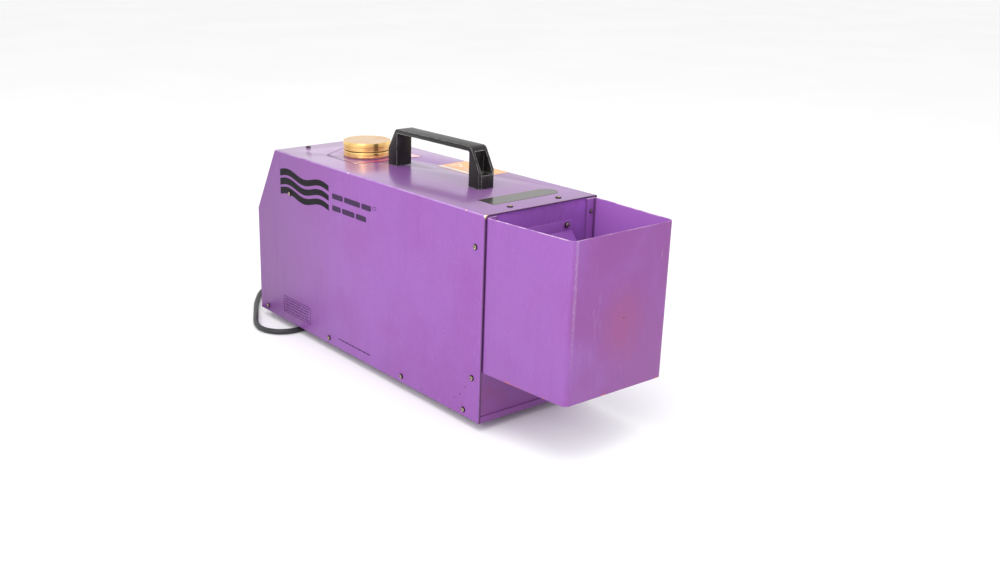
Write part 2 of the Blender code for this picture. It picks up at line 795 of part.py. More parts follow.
def fan_rotor():
    """Hub with seven pitched blades, turning about the X axis."""
    made = rod("fan_rotor", (-0.0085, 0, 0), (0.0095, 0, 0), 0.018, 20)
    for number in range(7):
        low = (-0.0007, -0.0085, 0.015)
        blade = block(f"blade_{number}", low, (0.0007, 0.0085, FAN_BORE - 0.0015), cutters)
        blade.data.transform(Matrix.Rotation(math.radians(52), 4, "Z"))
        blade.data.transform(Matrix.Rotation(math.tau * number / 7, 4, "X"))
        place(blade, (0, 0, 0), parent=made)
        join(made, blade)
    place(made, (FAN_REAR + 0.0143, 0, FAN_Z))
    return finish(made, black_plastic)


def fan_guard():
    """Finger guard over the outlet: a square plate with ring-shaped slots between four spokes."""
    half = FAN_SIZE / 2
    corner = 0.006
    rim = []
    for x, y, start in ((1, 1, 0), (-1, 1, 90), (-1, -1, 180), (1, -1, 270)):
        rim += arc((x * (half - corner), y * (half - corner)), corner, start, start + 90, 3)
    outlines = [rim]
    for ring in range(4):
        inner = 0.0095 + 0.0085 * ring
        outer = inner + 0.0060
        spread = math.degrees(0.0015 / inner)
        for quarter in range(4):
            start = 90 * quarter + spread
            end = 90 * quarter + 90 - spread
            slot = arc((0, 0), inner, start, end, 5) + arc((0, 0), outer, end, start, 5)
            outlines.append(slot)
    made = plate("fan_guard", outlines, 0.0010)
    place(made, (PANEL_FACE + GAP + 0.0005, 0, FAN_Z), (0, math.pi / 2, 0))
    return finish(made, steel_metal)


# Air supply.
def compressor_motor():
    """Motor can with a fan shroud at its front end."""
    length = MOTOR_FRONT - MOTOR_REAR
    r = MOTOR_RADIUS
    profile = [(0, length), (r - 0.010, length), (r - 0.004, length - 0.006), (r - 0.004, length - 0.030)]
    profile += [(r, length - 0.030), (r, 0.012), (r - 0.005, 0.012), (r - 0.005, 0), (0, 0)]
    made = turned("compressor_motor", profile, 28)
    place(made, (MOTOR_REAR, 0, MOTOR_Z), (0, math.pi / 2, 0))
    return finish(made, steel_metal)


def compressor_head():
    """Crankcase and finned cylinder block behind the motor, with the outlet port on its left side."""
    rear = REAR + 0.296
    front = MOTOR_REAR - GAP
    made = block("compressor_head", (rear, -0.034, BASE + 0.030), (front, 0.034, BASE + 0.108))
    soften(made, 0.004)
    for number in range(5):
        z = BASE + 0.070 + 0.0075 * number
        low = (rear - 0.01, -0.05, z)
        cut(made, block(f"fin_gap_{number}", low, (rear + 0.008, 0.05, z + 0.004), cutters))
    port = (rear + 0.040, 0.030, BASE + 0.090)
    join(made, rod("head_port", port, (port[0], 0.046, port[2]), 0.0055, 12, cutters))
    return finish(made, lambda name: material(name, (0.50, 0.51, 0.52), 0.45, 0.9))


def compressor_mounts():
    """Two rubber saddles between the tray and the motor."""
    for name, along in (("compressor_mount_rear", 0.378), ("compressor_mount_front", 0.438)):
        x = REAR + along
        high = BASE + 0.034
        made = block(name, (x, -0.038, TRAY_FLOOR + GAP), (x + 0.024, 0.038, high))
        ends = ((x - 0.01, 0, MOTOR_Z), (x + 0.04, 0, MOTOR_Z))
        cut(made, rod(f"{name}_saddle", *ends, MOTOR_RADIUS + 0.0004, 28, cutters))
        finish(made, black_rubber)


def pressure_regulator():
    """Regulator body behind the sloping panel, with its threaded stem through the panel."""
    made = rod("pressure_regulator", (0, 0, -0.034), (0, 0, -0.0022), 0.0150, 20)
    stem = rod("regulator_stem", (0, 0, -0.0040), (0, 0, 0.0034), 0.0078, 16, cutters)
    stem.parent = made
    join(made, stem)
    place(made, (*REGULATOR_AT, 0), parent=SLOPE)
    return finish(made, brass_metal)


def supply_hose():
    """Air line from the compressor's port to the regulator."""
    route = (
        (REAR + 0.336, 0.0466, BASE + 0.090),
        (REAR + 0.336, 0.0540, BASE + 0.090),
        (REAR + 0.326, 0.0720, BASE + 0.092),
        (REAR + 0.300, 0.0870, BASE + 0.098),
        (REAR + 0.255, 0.0937, BASE + 0.104),
        (REAR + 0.180, 0.0937, BASE + 0.112),
        (REAR + 0.110, 0.0937, BASE + 0.122),
        (REAR + 0.080, 0.0780, BASE + 0.140),
        (REAR + 0.070, 0.0450, BASE + 0.165),
        (REAR + 0.066, 0.0200, BASE + 0.185),
    )
    made = as_mesh(tube("supply_hose", smooth_route(route, 0.016), 0.0030))
    return finish(made, black_rubber)


def atomiser_hose():
    """Air line from the regulator down to the jet block."""
    route = (
        (REAR + 0.058, -0.0180, BASE + 0.190),
        (REAR + 0.064, -0.0280, BASE + 0.165),
        (REAR + 0.062, -0.0350, BASE + 0.120),
        (REAR + 0.052, -0.0360, BASE + 0.080),
        (REAR + 0.056, -0.0350, BASE + 0.058),
        (REAR + 0.070, ATOMISER_Y, ATOMISER_Z + 0.001),
        (TANK_REAR - 0.0124, ATOMISER_Y, ATOMISER_Z),
    )
    made = as_mesh(tube("atomiser_hose", smooth_route(route, 0.008), 0.0030))
    return finish(made, black_rubber)


# Controls.
def pressure_gauge():
    """Gauge can through the panel, with a bezel and a recessed dial."""
    profile = [
        (0, 0.0030),
        (0.0190, 0.0030),
        (0.0190, 0.0070),
        (0.0215, 0.0070),
        (0.0230, 0.0055),
        (0.0230, GAP),
        (0.0203, GAP),
        (0.0203, -0.0220),
        (0, -0.0220),
    ]
    made = turned("pressure_gauge", profile, 28)
    place(made, (*GAUGE_AT, 0), parent=SLOPE)
    return finish(made, steel_metal)


def gauge_needle():
    """Pointer on its hub, just above the dial."""
    right = [(-0.0040, -0.0011), (0, -0.0016), (0.0150, -0.0003)]
    outline = right + [(x, -y) for x, y in reversed(right)]
    made = plate("gauge_needle", [outline], 0.0006)
    made.data.transform(Matrix.Rotation(DIAL_START, 4, "Z"))
    place(made, (*GAUGE_AT, 0.0045), parent=SLOPE)
    return finish(made, lambda name: material(name, (0.6, 0.05, 0.03), 0.5))


def gauge_lens():
    """Clear disc in the bezel, over the needle."""
    made = rod("gauge_lens", (0, 0, 0.0058), (0, 0, 0.0069), 0.0187, 28)
    place(made, (*GAUGE_AT, 0), parent=SLOPE)
    return finish(made, lambda name: material(name, (0.9, 0.95, 0.95), 0.05, 0.0, 0.35))


def control_knob(name, at, radius, height, shaft):
    """Turned knob with a pointer ridge, on a shaft that goes through the panel."""
    profile = [(0, height), (radius - 0.0025, height), (radius - 0.001, height - 0.0015), (radius, 0.0040)]
    profile += [(radius, 0.0038)]
    if shaft:
        profile += [(shaft, 0.0038), (shaft, -0.0100), (0, -0.0100)]
    else:
        profile += [(0, 0.0038)]
    made = turned(name, profile, 24)
    high = (radius + 0.0006, 0.0011, height + 0.0008)
    ridge = block(f"{name}_ridge", (0, -0.0011, height - 0.004), high, cutters)
    ridge.parent = made
    join(made, ridge)
    place(made, (*at, 0), (0, 0, DIAL_START), SLOPE)
    return finish(made, black_plastic)


def switch_frame():
    """Rocker switch body with a bezel and an open well."""
    half = (SWITCH_LENGTH / 2, SWITCH_WIDTH / 2)
    body = (half[0] - 0.0024, half[1] - 0.0024)
    well = (half[0] - 0.0032, half[1] - 0.0032)
    made = block("switch_frame", (-half[0], -half[1], GAP), (half[0], half[1], 0.0022))
    box = block("switch_body", (-body[0], -body[1], -0.0180), (body[0], body[1], 0.0012), cutters)
    pit = block("switch_well", (-well[0], -well[1], -0.0060), (well[0], well[1], 0.0100), cutters)
    for piece in (box, pit):
        piece.parent = made
    cut(join(made, box), pit)
    place(made, (*SWITCH_AT, 0), parent=SLOPE)
    return finish(made, black_plastic)


def power_rocker():
    """Rocker with two sloping faces, resting with its lower end out. It turns about the Y axis."""
    half = SWITCH_LENGTH / 2 - 0.0042
    width = SWITCH_WIDTH - 0.0075
    outline = [(-half, 0.0048), (0, 0.0026), (half, 0.0048), (half, 0.0004)]
    outline += [(0.0040, -0.0030), (-0.0040, -0.0030), (-half, 0.0004)]
    made = plate("power_rocker", [outline], width)
    made.data.transform(Matrix.Rotation(math.pi / 2, 4, "X"))
    made.data.transform(Matrix.Rotation(ROCKER_TILT, 4, "Y"))
    place(made, (*SWITCH_AT, 0), parent=SLOPE)
    return finish(made, black_plastic)


def ready_lamp():
    """Panel lamp with a domed lens."""
    profile = [(0, 0.0046), (0.0025, 0.0040), (0.0040, 0.0026), (0.0058, 0.0020), (0.0058, GAP)]
    profile += [(0.0043, GAP), (0.0043, -0.0120), (0, -0.0120)]
    made = turned("ready_lamp", profile, 16)
    place(made, (*LAMP_AT, 0), parent=SLOPE)
    return finish(made, lambda name: material(name, (0.55, 0.03, 0.02), 0.2))


def control_board():
    """Fan speed and switching board on the duct, with its larger components."""
    floor = FAN_Z + FAN_SIZE / 2 + 0.006
    rear = REAR + 0.330
    made = block("control_board", (rear, -0.040, floor), (rear + 0.120, 0.040, floor + 0.0016))
    tall = floor + 0.0010
    join(made, block("relay", (rear + 0.012, -0.030, tall), (rear + 0.031, -0.014, floor + 0.017), cutters))
    sink_high = (rear + 0.102, 0.024, floor + 0.024)
    join(made, block("heat_sink", (rear + 0.070, 0.006, tall), sink_high, cutters))
    ends = ((rear + 0.050, -0.022, tall), (rear + 0.050, -0.022, floor + 0.022))
    join(made, rod("capacitor", *ends, 0.0060, 16, cutters))
    for number, (x, y) in enumerate(((0.005, -0.035), (0.115, -0.035), (0.005, 0.035), (0.115, 0.035))):
        base = (rear + x, y, FAN_Z + FAN_SIZE / 2 + GAP)
        join(made, rod(f"standoff_{number}", base, (base[0], base[1], floor + 0.0010), 0.0030, 8, cutters))
    return finish(made, lambda name: material(name, (0.05, 0.25, 0.10), 0.5))


def power_supply():
    """Transformer with its laminations and winding, on the tray behind the reservoir."""
    low = TRAY_FLOOR + GAP
    made = block("power_supply", (REAR + 0.052, -0.022, low), (REAR + 0.090, 0.022, low + 0.040))
    winding_low = (REAR + 0.046, -0.016, low + 0.008)
    join(made, block("winding", winding_low, (REAR + 0.0955, 0.016, low + 0.033), cutters))
    return finish(made, steel_metal)


# Mains cord.
def cord_gland():
    """Nut, threaded body and tapered strain relief, along the cord's exit."""
    reach = REAR - CORD_EXIT.x - GAP
    panel = -PANEL_INSET - SHEET
    profile = [
        (0, reach),
        (CORD_RADIUS + 0.0010, reach),
        (CORD_RADIUS + 0.0035, 0.012),
        (0.0120, 0.0115),
        (0.0120, -PANEL_INSET + GAP),
        (0.0080, -PANEL_INSET + GAP),
        (0.0080, panel - GAP),
        (0.0110, panel - GAP),
        (0.0110, panel - 0.006),
        (0, panel - 0.006),
    ]
    made = turned("cord_gland", profile, 20)
    place(made, (REAR, CORD_EXIT.y, CORD_EXIT.z), (0, -math.pi / 2, 0))
    return finish(made, black_plastic)


def cord_route():
    """Points that the cord follows: out of its strain relief, round the rear corner and back under."""
    floor = CORD_RADIUS
    at_rear = (
        (-0.0452, 0.0240, BASE + 0.0320),
        (-0.0600, 0.0240, BASE + 0.0318),
        (-0.0780, 0.0205, BASE + 0.0265),
        (-0.0945, 0.0105, 0.0275),
        (-0.1045, -0.0060, 0.0170),
        (-0.1060, -0.0260, 0.0092),
        (-0.0985, -0.0430, 0.0058),
        (-0.0840, -0.0585, 0.0047),
        (-0.0640, -0.0740, floor),
        (-0.0430, -0.0885, floor),
        (-0.0200, -0.1025, floor),
        (0.0010, -0.1145, floor),
        (0.0220, -0.1265, floor),
        (0.0420, -0.1375, floor),
        (0.0620, -0.1455, floor),
        (0.0830, -0.1475, floor),
        (0.1030, -0.1400, floor),
        (0.1170, -0.1235, floor),
        (0.1215, -0.1020, floor),
        (0.1170, -0.0800, floor),
        (0.1060, -0.0590, floor),
        (0.0910, -0.0400, floor),
        (0.0740, -0.0220, floor),
        (0.0560, -0.0045, floor),
        (0.0390, 0.0140, floor),
        (0.0240, 0.0340, floor),
        (0.0105, 0.0550, floor),
        (-0.0020, 0.0765, floor),
        (-0.0130, 0.0955, floor),
    )
    return [(REAR + x, y, z) for x, y, z in at_rear]


def power_cord():
    """The cord's loose stretch."""
    made = as_mesh(tube("power_cord", smooth_route(cord_route(), 2.4 * CORD_RADIUS * 2), CORD_RADIUS, 3))
    return finish(made, black_rubber)


def cord_coil():
    """Outer shape of the stored coil."""
    low = 0.0002
    profile = [(COIL_INNER, COIL_HEIGHT), (COIL_OUTER, COIL_HEIGHT), (COIL_OUTER, low), (COIL_INNER, low)]
    made = turned("cord_coil", profile, 32, closed=True)
    return finish(place(made, (*COIL_CENTRE, 0)), black_rubber)


def power_plug():
    """Mains plug beside the coil, with its boot towards the coil and two flat pins."""
    made = block("power_plug", (-0.0125, -0.048, -0.0138), (0.0125, -0.020, 0.0120))
    soften(made, 0.003, 2)
    boot = rod("plug_boot", (0, -0.0215, 0), (0, -0.0005, 0), 0.0085, 16, cutters, CORD_RADIUS + 0.0012)
    pins = [boot]
    for number, x in enumerate((-0.00635, 0.00635)):
        low = (x - 0.00075, -0.0660, -0.0032)
        pins.append(block(f"pin_{number}", low, (x + 0.00075, -0.0470, 0.0032), cutters))
    for pin in pins:
        pin.parent = made
        join(made, pin)
    place(made, PLUG_START)
    return finish(made, black_plastic)


hole_bars = screw_hole_cutters()
cover_shell(hole_bars)
base_tray(hole_bars[:4])
front_panel(hole_bars[3:6] + hole_bars[9:])
rear_panel(hole_bars[:1] + hole_bars[7:9])
rubber_feet()
cover_screws()
handle()
filler_neck()
cap_gasket()
filler_cap()
reservoir()
reservoir_strap()
atomiser()
haze_duct()
outlet_hood()
outlet_cowl()
fan_frame()
fan_rotor()
fan_guard()
compressor_motor()
compressor_head()
compressor_mounts()
pressure_regulator()
supply_hose()
atomiser_hose()
pressure_gauge()
gauge_needle()
gauge_lens()
control_knob("regulator_knob", REGULATOR_AT, 0.0125, 0.0165, None)
control_knob("speed_knob", SPEED_AT, 0.0130, 0.0180, 0.0030)
switch_frame()
power_rocker()
ready_lamp()
control_board()
power_supply()
cord_gland()
power_cord()
cord_coil()
power_plug()
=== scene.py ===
import math
import random

import bmesh
import bpy
from mathutils import Euler, Matrix, Vector


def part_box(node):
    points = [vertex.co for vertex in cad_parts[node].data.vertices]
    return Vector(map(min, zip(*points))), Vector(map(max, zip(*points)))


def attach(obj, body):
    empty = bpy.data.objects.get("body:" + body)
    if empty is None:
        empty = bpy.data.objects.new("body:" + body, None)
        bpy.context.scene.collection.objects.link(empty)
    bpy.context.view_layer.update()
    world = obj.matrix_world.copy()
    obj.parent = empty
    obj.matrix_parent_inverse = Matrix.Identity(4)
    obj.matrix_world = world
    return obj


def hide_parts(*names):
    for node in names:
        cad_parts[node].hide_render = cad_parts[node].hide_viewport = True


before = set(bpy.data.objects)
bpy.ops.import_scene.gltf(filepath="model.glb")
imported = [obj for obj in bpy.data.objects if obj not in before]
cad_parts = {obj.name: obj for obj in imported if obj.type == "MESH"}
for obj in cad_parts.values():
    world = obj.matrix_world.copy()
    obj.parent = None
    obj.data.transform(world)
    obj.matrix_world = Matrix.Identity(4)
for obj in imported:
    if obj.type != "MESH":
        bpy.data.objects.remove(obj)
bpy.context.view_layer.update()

# The case's stations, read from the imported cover. +X points to the outlet, -Y is the machine's right side.
case_low, case_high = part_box("cover_shell")
REAR, BASE = case_low.x, case_low.z
FRONT, TOP = case_high.x, case_high.z
HALF = case_high.y
SHEET = 0.0015
CHAMFER_LENGTH = 0.063
CHAMFER_DROP = 0.111
PANEL_INSET = 0.002
PANEL_FACE = FRONT - PANEL_INSET

bpy.context.scene.view_settings.view_transform = "Standard"
draws = random.Random(7)


# Camera.
def studio_camera():
    """Camera at the front right corner, slightly above the machine."""
    data = bpy.data.cameras.new("camera")
    data.sensor_width = 36.0
    data.lens = 39.67
    data.shift_x = 0.1197
    data.shift_y = 0.0042
    made = bpy.data.objects.new("camera", data)
    bpy.context.scene.collection.objects.link(made)
    azimuth = math.radians(54.75)
    elevation = math.radians(18.05)
    level = math.cos(elevation)
    back = Vector((math.sin(azimuth) * level, -math.cos(azimuth) * level, math.sin(elevation)))
    made.location = (REAR + 1.6492, -1.0069, BASE + 0.6485)
    made.rotation_mode = "QUATERNION"
    made.rotation_quaternion = (-back).to_track_quat("-Z", "Y")
    bpy.context.scene.camera = made


studio_camera()


# Modelling helpers.
def link_mesh(name, mesh):
    """A new object in the scene with that mesh."""
    made = bpy.data.objects.new(name, mesh)
    bpy.context.scene.collection.objects.link(made)
    return made


def from_bmesh(name, shape):
    """Turn a bmesh into an object and free the bmesh."""
    mesh = bpy.data.meshes.new(name)
    shape.to_mesh(mesh)
    shape.free()
    return link_mesh(name, mesh)


def box(name, low, high):
    """A box between two corners."""
    shape = bmesh.new()
    bmesh.ops.create_cube(shape, size=1.0)
    bmesh.ops.scale(shape, vec=[b - a for a, b in zip(low, high)], verts=shape.verts)
    bmesh.ops.translate(shape, vec=[(a + b) / 2 for a, b in zip(low, high)], verts=shape.verts)
    return from_bmesh(name, shape)


def rod(name, start, end, radius, sides=32, end_radius=None):
    """A round bar between two points, or a cone with end_radius."""
    start = Vector(start)
    run = Vector(end) - start
    shape = bmesh.new()
    bmesh.ops.create_cone(
        shape,
        cap_ends=True,
        segments=sides,
        radius1=radius,
        radius2=radius if end_radius is None else end_radius,
        depth=run.length,
    )
    turn = run.to_track_quat("Z", "Y").to_matrix().to_4x4()
    bmesh.ops.transform(shape, matrix=Matrix.Translation(start + run / 2) @ turn, verts=shape.verts)
    return from_bmesh(name, shape)


def turned(name, profile, steps=64, closed=False):
    """A turned piece round Z: (radius, height) points from the top down the outer side."""
    shape = bmesh.new()
    rings = []
    for radius, height in profile:
        if radius < 1e-6:
            rings.append([shape.verts.new((0, 0, height))])
            continue
        turns = [math.tau * i / steps for i in range(steps)]
        rings.append([shape.verts.new((radius * math.cos(a), radius * math.sin(a), height)) for a in turns])
    pairs = list(zip(rings, rings[1:]))
    if closed:
        pairs.append((rings[-1], rings[0]))
    for upper, lower in pairs:
        for i in range(steps):
            j = (i + 1) % steps
            corners = [upper[i % len(upper)], lower[i % len(lower)]]
            corners += [lower[j % len(lower)], upper[j % len(upper)]]
            corners = list(dict.fromkeys(corners))
            if len(corners) > 2:
                shape.faces.new(corners)
    return from_bmesh(name, shape)


def arc(centre, radius, start, end, count):
    """Points on an arc, with the angles in degrees."""
    angles = [math.radians(start + (end - start) * i / (count - 1)) for i in range(count)]
    return [(centre[0] + radius * math.cos(a), centre[1] + radius * math.sin(a)) for a in angles]


def rounded(points, radii, count=6, cyclic=False):
    """An outline whose corners are arcs of the given radii. An open one keeps its two end points."""
    points = [Vector(p) for p in points]
    if cyclic:
        corners = list(zip([points[-1]] + points[:-1], points, points[1:] + [points[0]], radii))
        made = []
    else:
        corners = list(zip(points, points[1:], points[2:], radii))
        made = [points[0]]
    for before, corner, after, radius in corners:
        if radius <= 0:
            made.append(corner)
            continue
        to_before = (before - corner).normalized()
        to_after = (after - corner).normalized()
        half_angle = to_before.angle(to_after) / 2
        reach = radius / math.tan(half_angle)
        middle = corner + (to_before + to_after).normalized() * radius / math.sin(half_angle)
        first = corner + to_before * reach - middle
        sweep = first.angle_signed(corner + to_after * reach - middle)
        for i in range(count + 1):
            made.append(middle + Matrix.Rotation(-sweep * i / count, 2) @ first)
    if not cyclic:
        made.append(points[-1])
    return made


def plate(name, outlines, thickness, bevel=0.0):
    """A flat plate in X and Y, centred on Z = 0: the first outline is its rim and the others are holes."""
    curve = bpy.data.curves.new(name, "CURVE")
    curve.dimensions = "2D"
    curve.fill_mode = "BOTH"
    curve.extrude = thickness / 2 - bevel
    curve.bevel_depth = bevel
    curve.bevel_resolution = 1
    curve.offset = -bevel
    for outline in outlines:
        spline = curve.splines.new("POLY")
        spline.points.add(len(outline) - 1)
        for point, at in zip(spline.points, outline):
            point.co = (at[0], at[1], 0, 1)
        spline.use_cyclic_u = True
    return settled(link_mesh(name, curve))


def tube(name, points, radius, cyclic=False, resolution=4):
    """A round tube or wire along points."""
    curve = bpy.data.curves.new(name, "CURVE")
    curve.dimensions = "3D"
    curve.bevel_depth = radius
    curve.bevel_resolution = resolution
    curve.use_fill_caps = True
    spline = curve.splines.new("POLY")
    spline.points.add(len(points) - 1)
    for point, at in zip(spline.points, points):
        point.co = (*at, 1)
    spline.use_cyclic_u = cyclic
    return settled(link_mesh(name, curve))


def settled(made):
    """Apply an object's modifiers, or turn a curve or text into a mesh, under the same name."""
    bpy.context.view_layer.update()
    graph = bpy.context.evaluated_depsgraph_get()
    mesh = bpy.data.meshes.new_from_object(made.evaluated_get(graph))
    shape = bmesh.new()
    shape.from_mesh(mesh)
    bmesh.ops.remove_doubles(shape, verts=shape.verts, dist=0.000002)
    shape.to_mesh(mesh)
    shape.free()
    mesh.materials.clear()
    name = made.name
    where = made.matrix_world.copy()
    bpy.data.objects.remove(made, do_unlink=True)
    solid = link_mesh(name, mesh)
    solid.matrix_world = where
    return solid


def combined(made, *others, operation="UNION"):
    """Join other objects to this one, or cut them out of it, and use them up."""
    for other in others:
        tool = made.modifiers.new("tool", "BOOLEAN")
        tool.operation = operation
        tool.object = other
    solid = settled(made)
    for other in others:
        bpy.data.objects.remove(other, do_unlink=True)
    return solid


def grouped(name, pieces):
    """Put several meshes into one object without uniting them."""
    shape = bmesh.new()
    for item in pieces:
        bpy.context.view_layer.update()
        mesh = item.data.copy()
        mesh.transform(item.matrix_world)
        shape.from_mesh(mesh)
        bpy.data.meshes.remove(mesh)
        bpy.data.objects.remove(item, do_unlink=True)
    return from_bmesh(name, shape)


def soften(made, width, segments=2, angle=30):
    """Round the sharp edges, and shade what is round smooth."""
    bevel = made.modifiers.new("soften", "BEVEL")
    bevel.width = width
    bevel.segments = segments
    bevel.limit_method = "ANGLE"
    bevel.angle_limit = math.radians(angle)
    bevel.harden_normals = False
    return settled(made)


def smooth(made, angle=35):
    """Shade smooth, with edges over the angle kept sharp."""
    made.data.shade_smooth()
    made.data.set_sharp_from_angle(angle=math.radians(angle))
    return made


def thicken(made, thickness=SHEET, offset=-1.0):
    """Make an open surface into sheet."""
    solid = made.modifiers.new("sheet", "SOLIDIFY")
    solid.thickness = thickness
    solid.offset = offset
    solid.use_even_offset = True
    return settled(made)


def put(made, at=(0, 0, 0), turn=(0, 0, 0)):
    """Turn a piece and move it to its place in the row frame."""
    made.matrix_world = Matrix.Translation(at) @ Euler(turn).to_matrix().to_4x4() @ made.matrix_world
    return made


def bridge(shape, first, second, closed=False):
    """Join two rows of vertices by faces."""
    for i in range(len(first) if closed else len(first) - 1):
        j = (i + 1) % len(first)
        shape.faces.new((first[i], first[j], second[j], second[i]))


def middle_of(node):
    """The middle of a CAD node's box."""
    low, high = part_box(node)
    return (low + high) / 2


def dress(made, finish, body="chassis", replaces=()):
    """Give a piece its finish, its body and the CAD nodes that it stands for."""
    made.data.materials.clear()
    made.data.materials.append(finish)
    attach(made, body)
    if replaces:
        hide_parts(*replaces)
    return made


# Materials.
class Finish:
    """A node material under construction. Its pattern follows the piece's own coordinates."""

    def __init__(self, name, roughness=0.5, metallic=0.0, **plain):
        self.material = bpy.data.materials.new(name)
        self.material.use_nodes = True
        self.tree = self.material.node_tree
        self.shader = self.tree.nodes["Principled BSDF"]
        self.shader.inputs["Roughness"].default_value = roughness
        self.shader.inputs["Metallic"].default_value = metallic
        for key, value in plain.items():
            self.shader.inputs[key.replace("_", " ")].default_value = value
        self.place = self.node("TexCoord").outputs["Object"]

    def node(self, kind, **settings):
        made = self.tree.nodes.new("ShaderNode" + kind)
        for key, value in settings.items():
            setattr(made, key, value)
        return made

    def feed(self, socket, value):
        if isinstance(value, bpy.types.NodeSocket):
            self.tree.links.new(value, socket)
        elif isinstance(value, (tuple, list)) and len(value) == 3 and socket.type == "RGBA":
            socket.default_value = (*value, 1.0)
        else:
            socket.default_value = value

    def axis(self, name):
        """One of the piece's own coordinates, X, Y or Z."""
        if not hasattr(self, "split"):
            self.split = self.node("SeparateXYZ")
            self.feed(self.split.inputs[0], self.place)
        return self.split.outputs[name]

    def math(self, operation, first, second=0.0):
        made = self.node("Math", operation=operation)
        self.feed(made.inputs[0], first)
        self.feed(made.inputs[1], second)
        return made.outputs[0]

    def vector(self, operation, first, second=(0, 0, 0), output="Vector"):
        made = self.node("VectorMath", operation=operation)
        self.feed(made.inputs[0], first)
        self.feed(made.inputs[1], second)
        return made.outputs[output]

    def normal(self, name):
        """X, Y or Z of the surface's direction."""
        made = self.node("SeparateXYZ")
        self.feed(made.inputs[0], self.node("NewGeometry").outputs["Normal"])
        return made.outputs[name]

    def stretched(self, stretch):
        mapping = self.node("Mapping")
        self.feed(mapping.inputs["Vector"], self.place)
        self.feed(mapping.inputs["Scale"], stretch)
        return mapping.outputs[0]

    def noise(self, scale, detail=3.0, stretch=(1, 1, 1), roughness=0.55, distortion=0.0):
        made = self.node("TexNoise")
        self.feed(made.inputs["Vector"], self.stretched(stretch))
        self.feed(made.inputs["Scale"], scale)
        self.feed(made.inputs["Detail"], detail)
        self.feed(made.inputs["Roughness"], roughness)
        self.feed(made.inputs["Distortion"], distortion)
        return made.outputs["Fac"]

    def cells(self, scale):
        made = self.node("TexVoronoi")
        self.feed(made.inputs["Vector"], self.stretched((1, 1, 1)))
        self.feed(made.inputs["Scale"], scale)
        return made.outputs["Distance"]

    def ramp(self, value, low, high):
        """0 up to low and 1 from high on, smooth between them. It falls where low is over high."""
        made = self.node("MapRange", interpolation_type="SMOOTHSTEP")
        self.feed(made.inputs["Value"], value)
        for key, number in (("From Min", low), ("From Max", high), ("To Min", 0.0), ("To Max", 1.0)):
            self.feed(made.inputs[key], number)
        return made.outputs[0]

    def near(self, value, target, reach):
        """1 where the value is at the target, down to 0 at a distance of reach."""
        away = self.math("ABSOLUTE", self.math("SUBTRACT", value, target))
        return self.ramp(away, reach, 0.0)

    def patches(self, low, high, *noise):
        """Soft patches of noise: 0 where it is under low and 1 where it is over high."""
        return self.ramp(self.noise(*noise), low, high)

    def along(self, name, low, high):
        """The share of the way from low to high along X, Y or Z."""
        return self.ramp(self.axis(name), low, high)

    def at(self, name, target, reach):
        """1 where X, Y or Z is at the target, down to 0 at a distance of reach."""
        return self.near(self.axis(name), target, reach)

    def both(self, *shares):
        made = shares[0]
        for share in shares[1:]:
            made = self.math("MULTIPLY", made, share)
        return made

    def either(self, first, second):
        return self.math("MAXIMUM", first, second)

    def mix(self, share, first, second):
        made = self.node("Mix", data_type="RGBA")
        self.feed(made.inputs[0], share)
        self.feed(made.inputs[6], first)
        self.feed(made.inputs[7], second)
        return made.outputs[2]

    def between(self, share, low, high):
        """A number that goes from low to high with the share."""
        made = self.node("MapRange")
        self.feed(made.inputs["Value"], share)
        self.feed(made.inputs["To Min"], low)
        self.feed(made.inputs["To Max"], high)
        return made.outputs[0]

    def edges(self, radius, low=0.02, high=0.25):
        """The share at sharp edges, for wear and for painted edge highlights: where a rounded normal leaves the
        true one.
        """
        bevel = self.node("Bevel", samples=4)
        self.feed(bevel.inputs["Radius"], radius)
        true = self.node("NewGeometry").outputs["Normal"]
        dot = self.vector("DOT_PRODUCT", bevel.outputs[0], true, "Value")
        return self.ramp(self.math("SUBTRACT", 1.0, dot), low, high)

    def colour(self, value):
        self.base = value
        self.feed(self.shader.inputs["Base Color"], value)

    def over(self, tint, *shares):
        """Lay a tint over the colour so far, where all the shares allow it."""
        self.colour(self.mix(self.both(*shares), self.base, tint))

    def roughness(self, value):
        self.feed(self.shader.inputs["Roughness"], value)

    def bump(self, height, distance=0.0002, strength=0.5):
        made = self.node("Bump")
        self.feed(made.inputs["Height"], height)
        self.feed(made.inputs["Distance"], distance)
        self.feed(made.inputs["Strength"], strength)
        self.feed(self.shader.inputs["Normal"], made.outputs[0])


def shifted(base, gain, lift=0.0):
    """A colour made lighter or darker."""
    return tuple(min(1.0, c * gain + lift) for c in base)


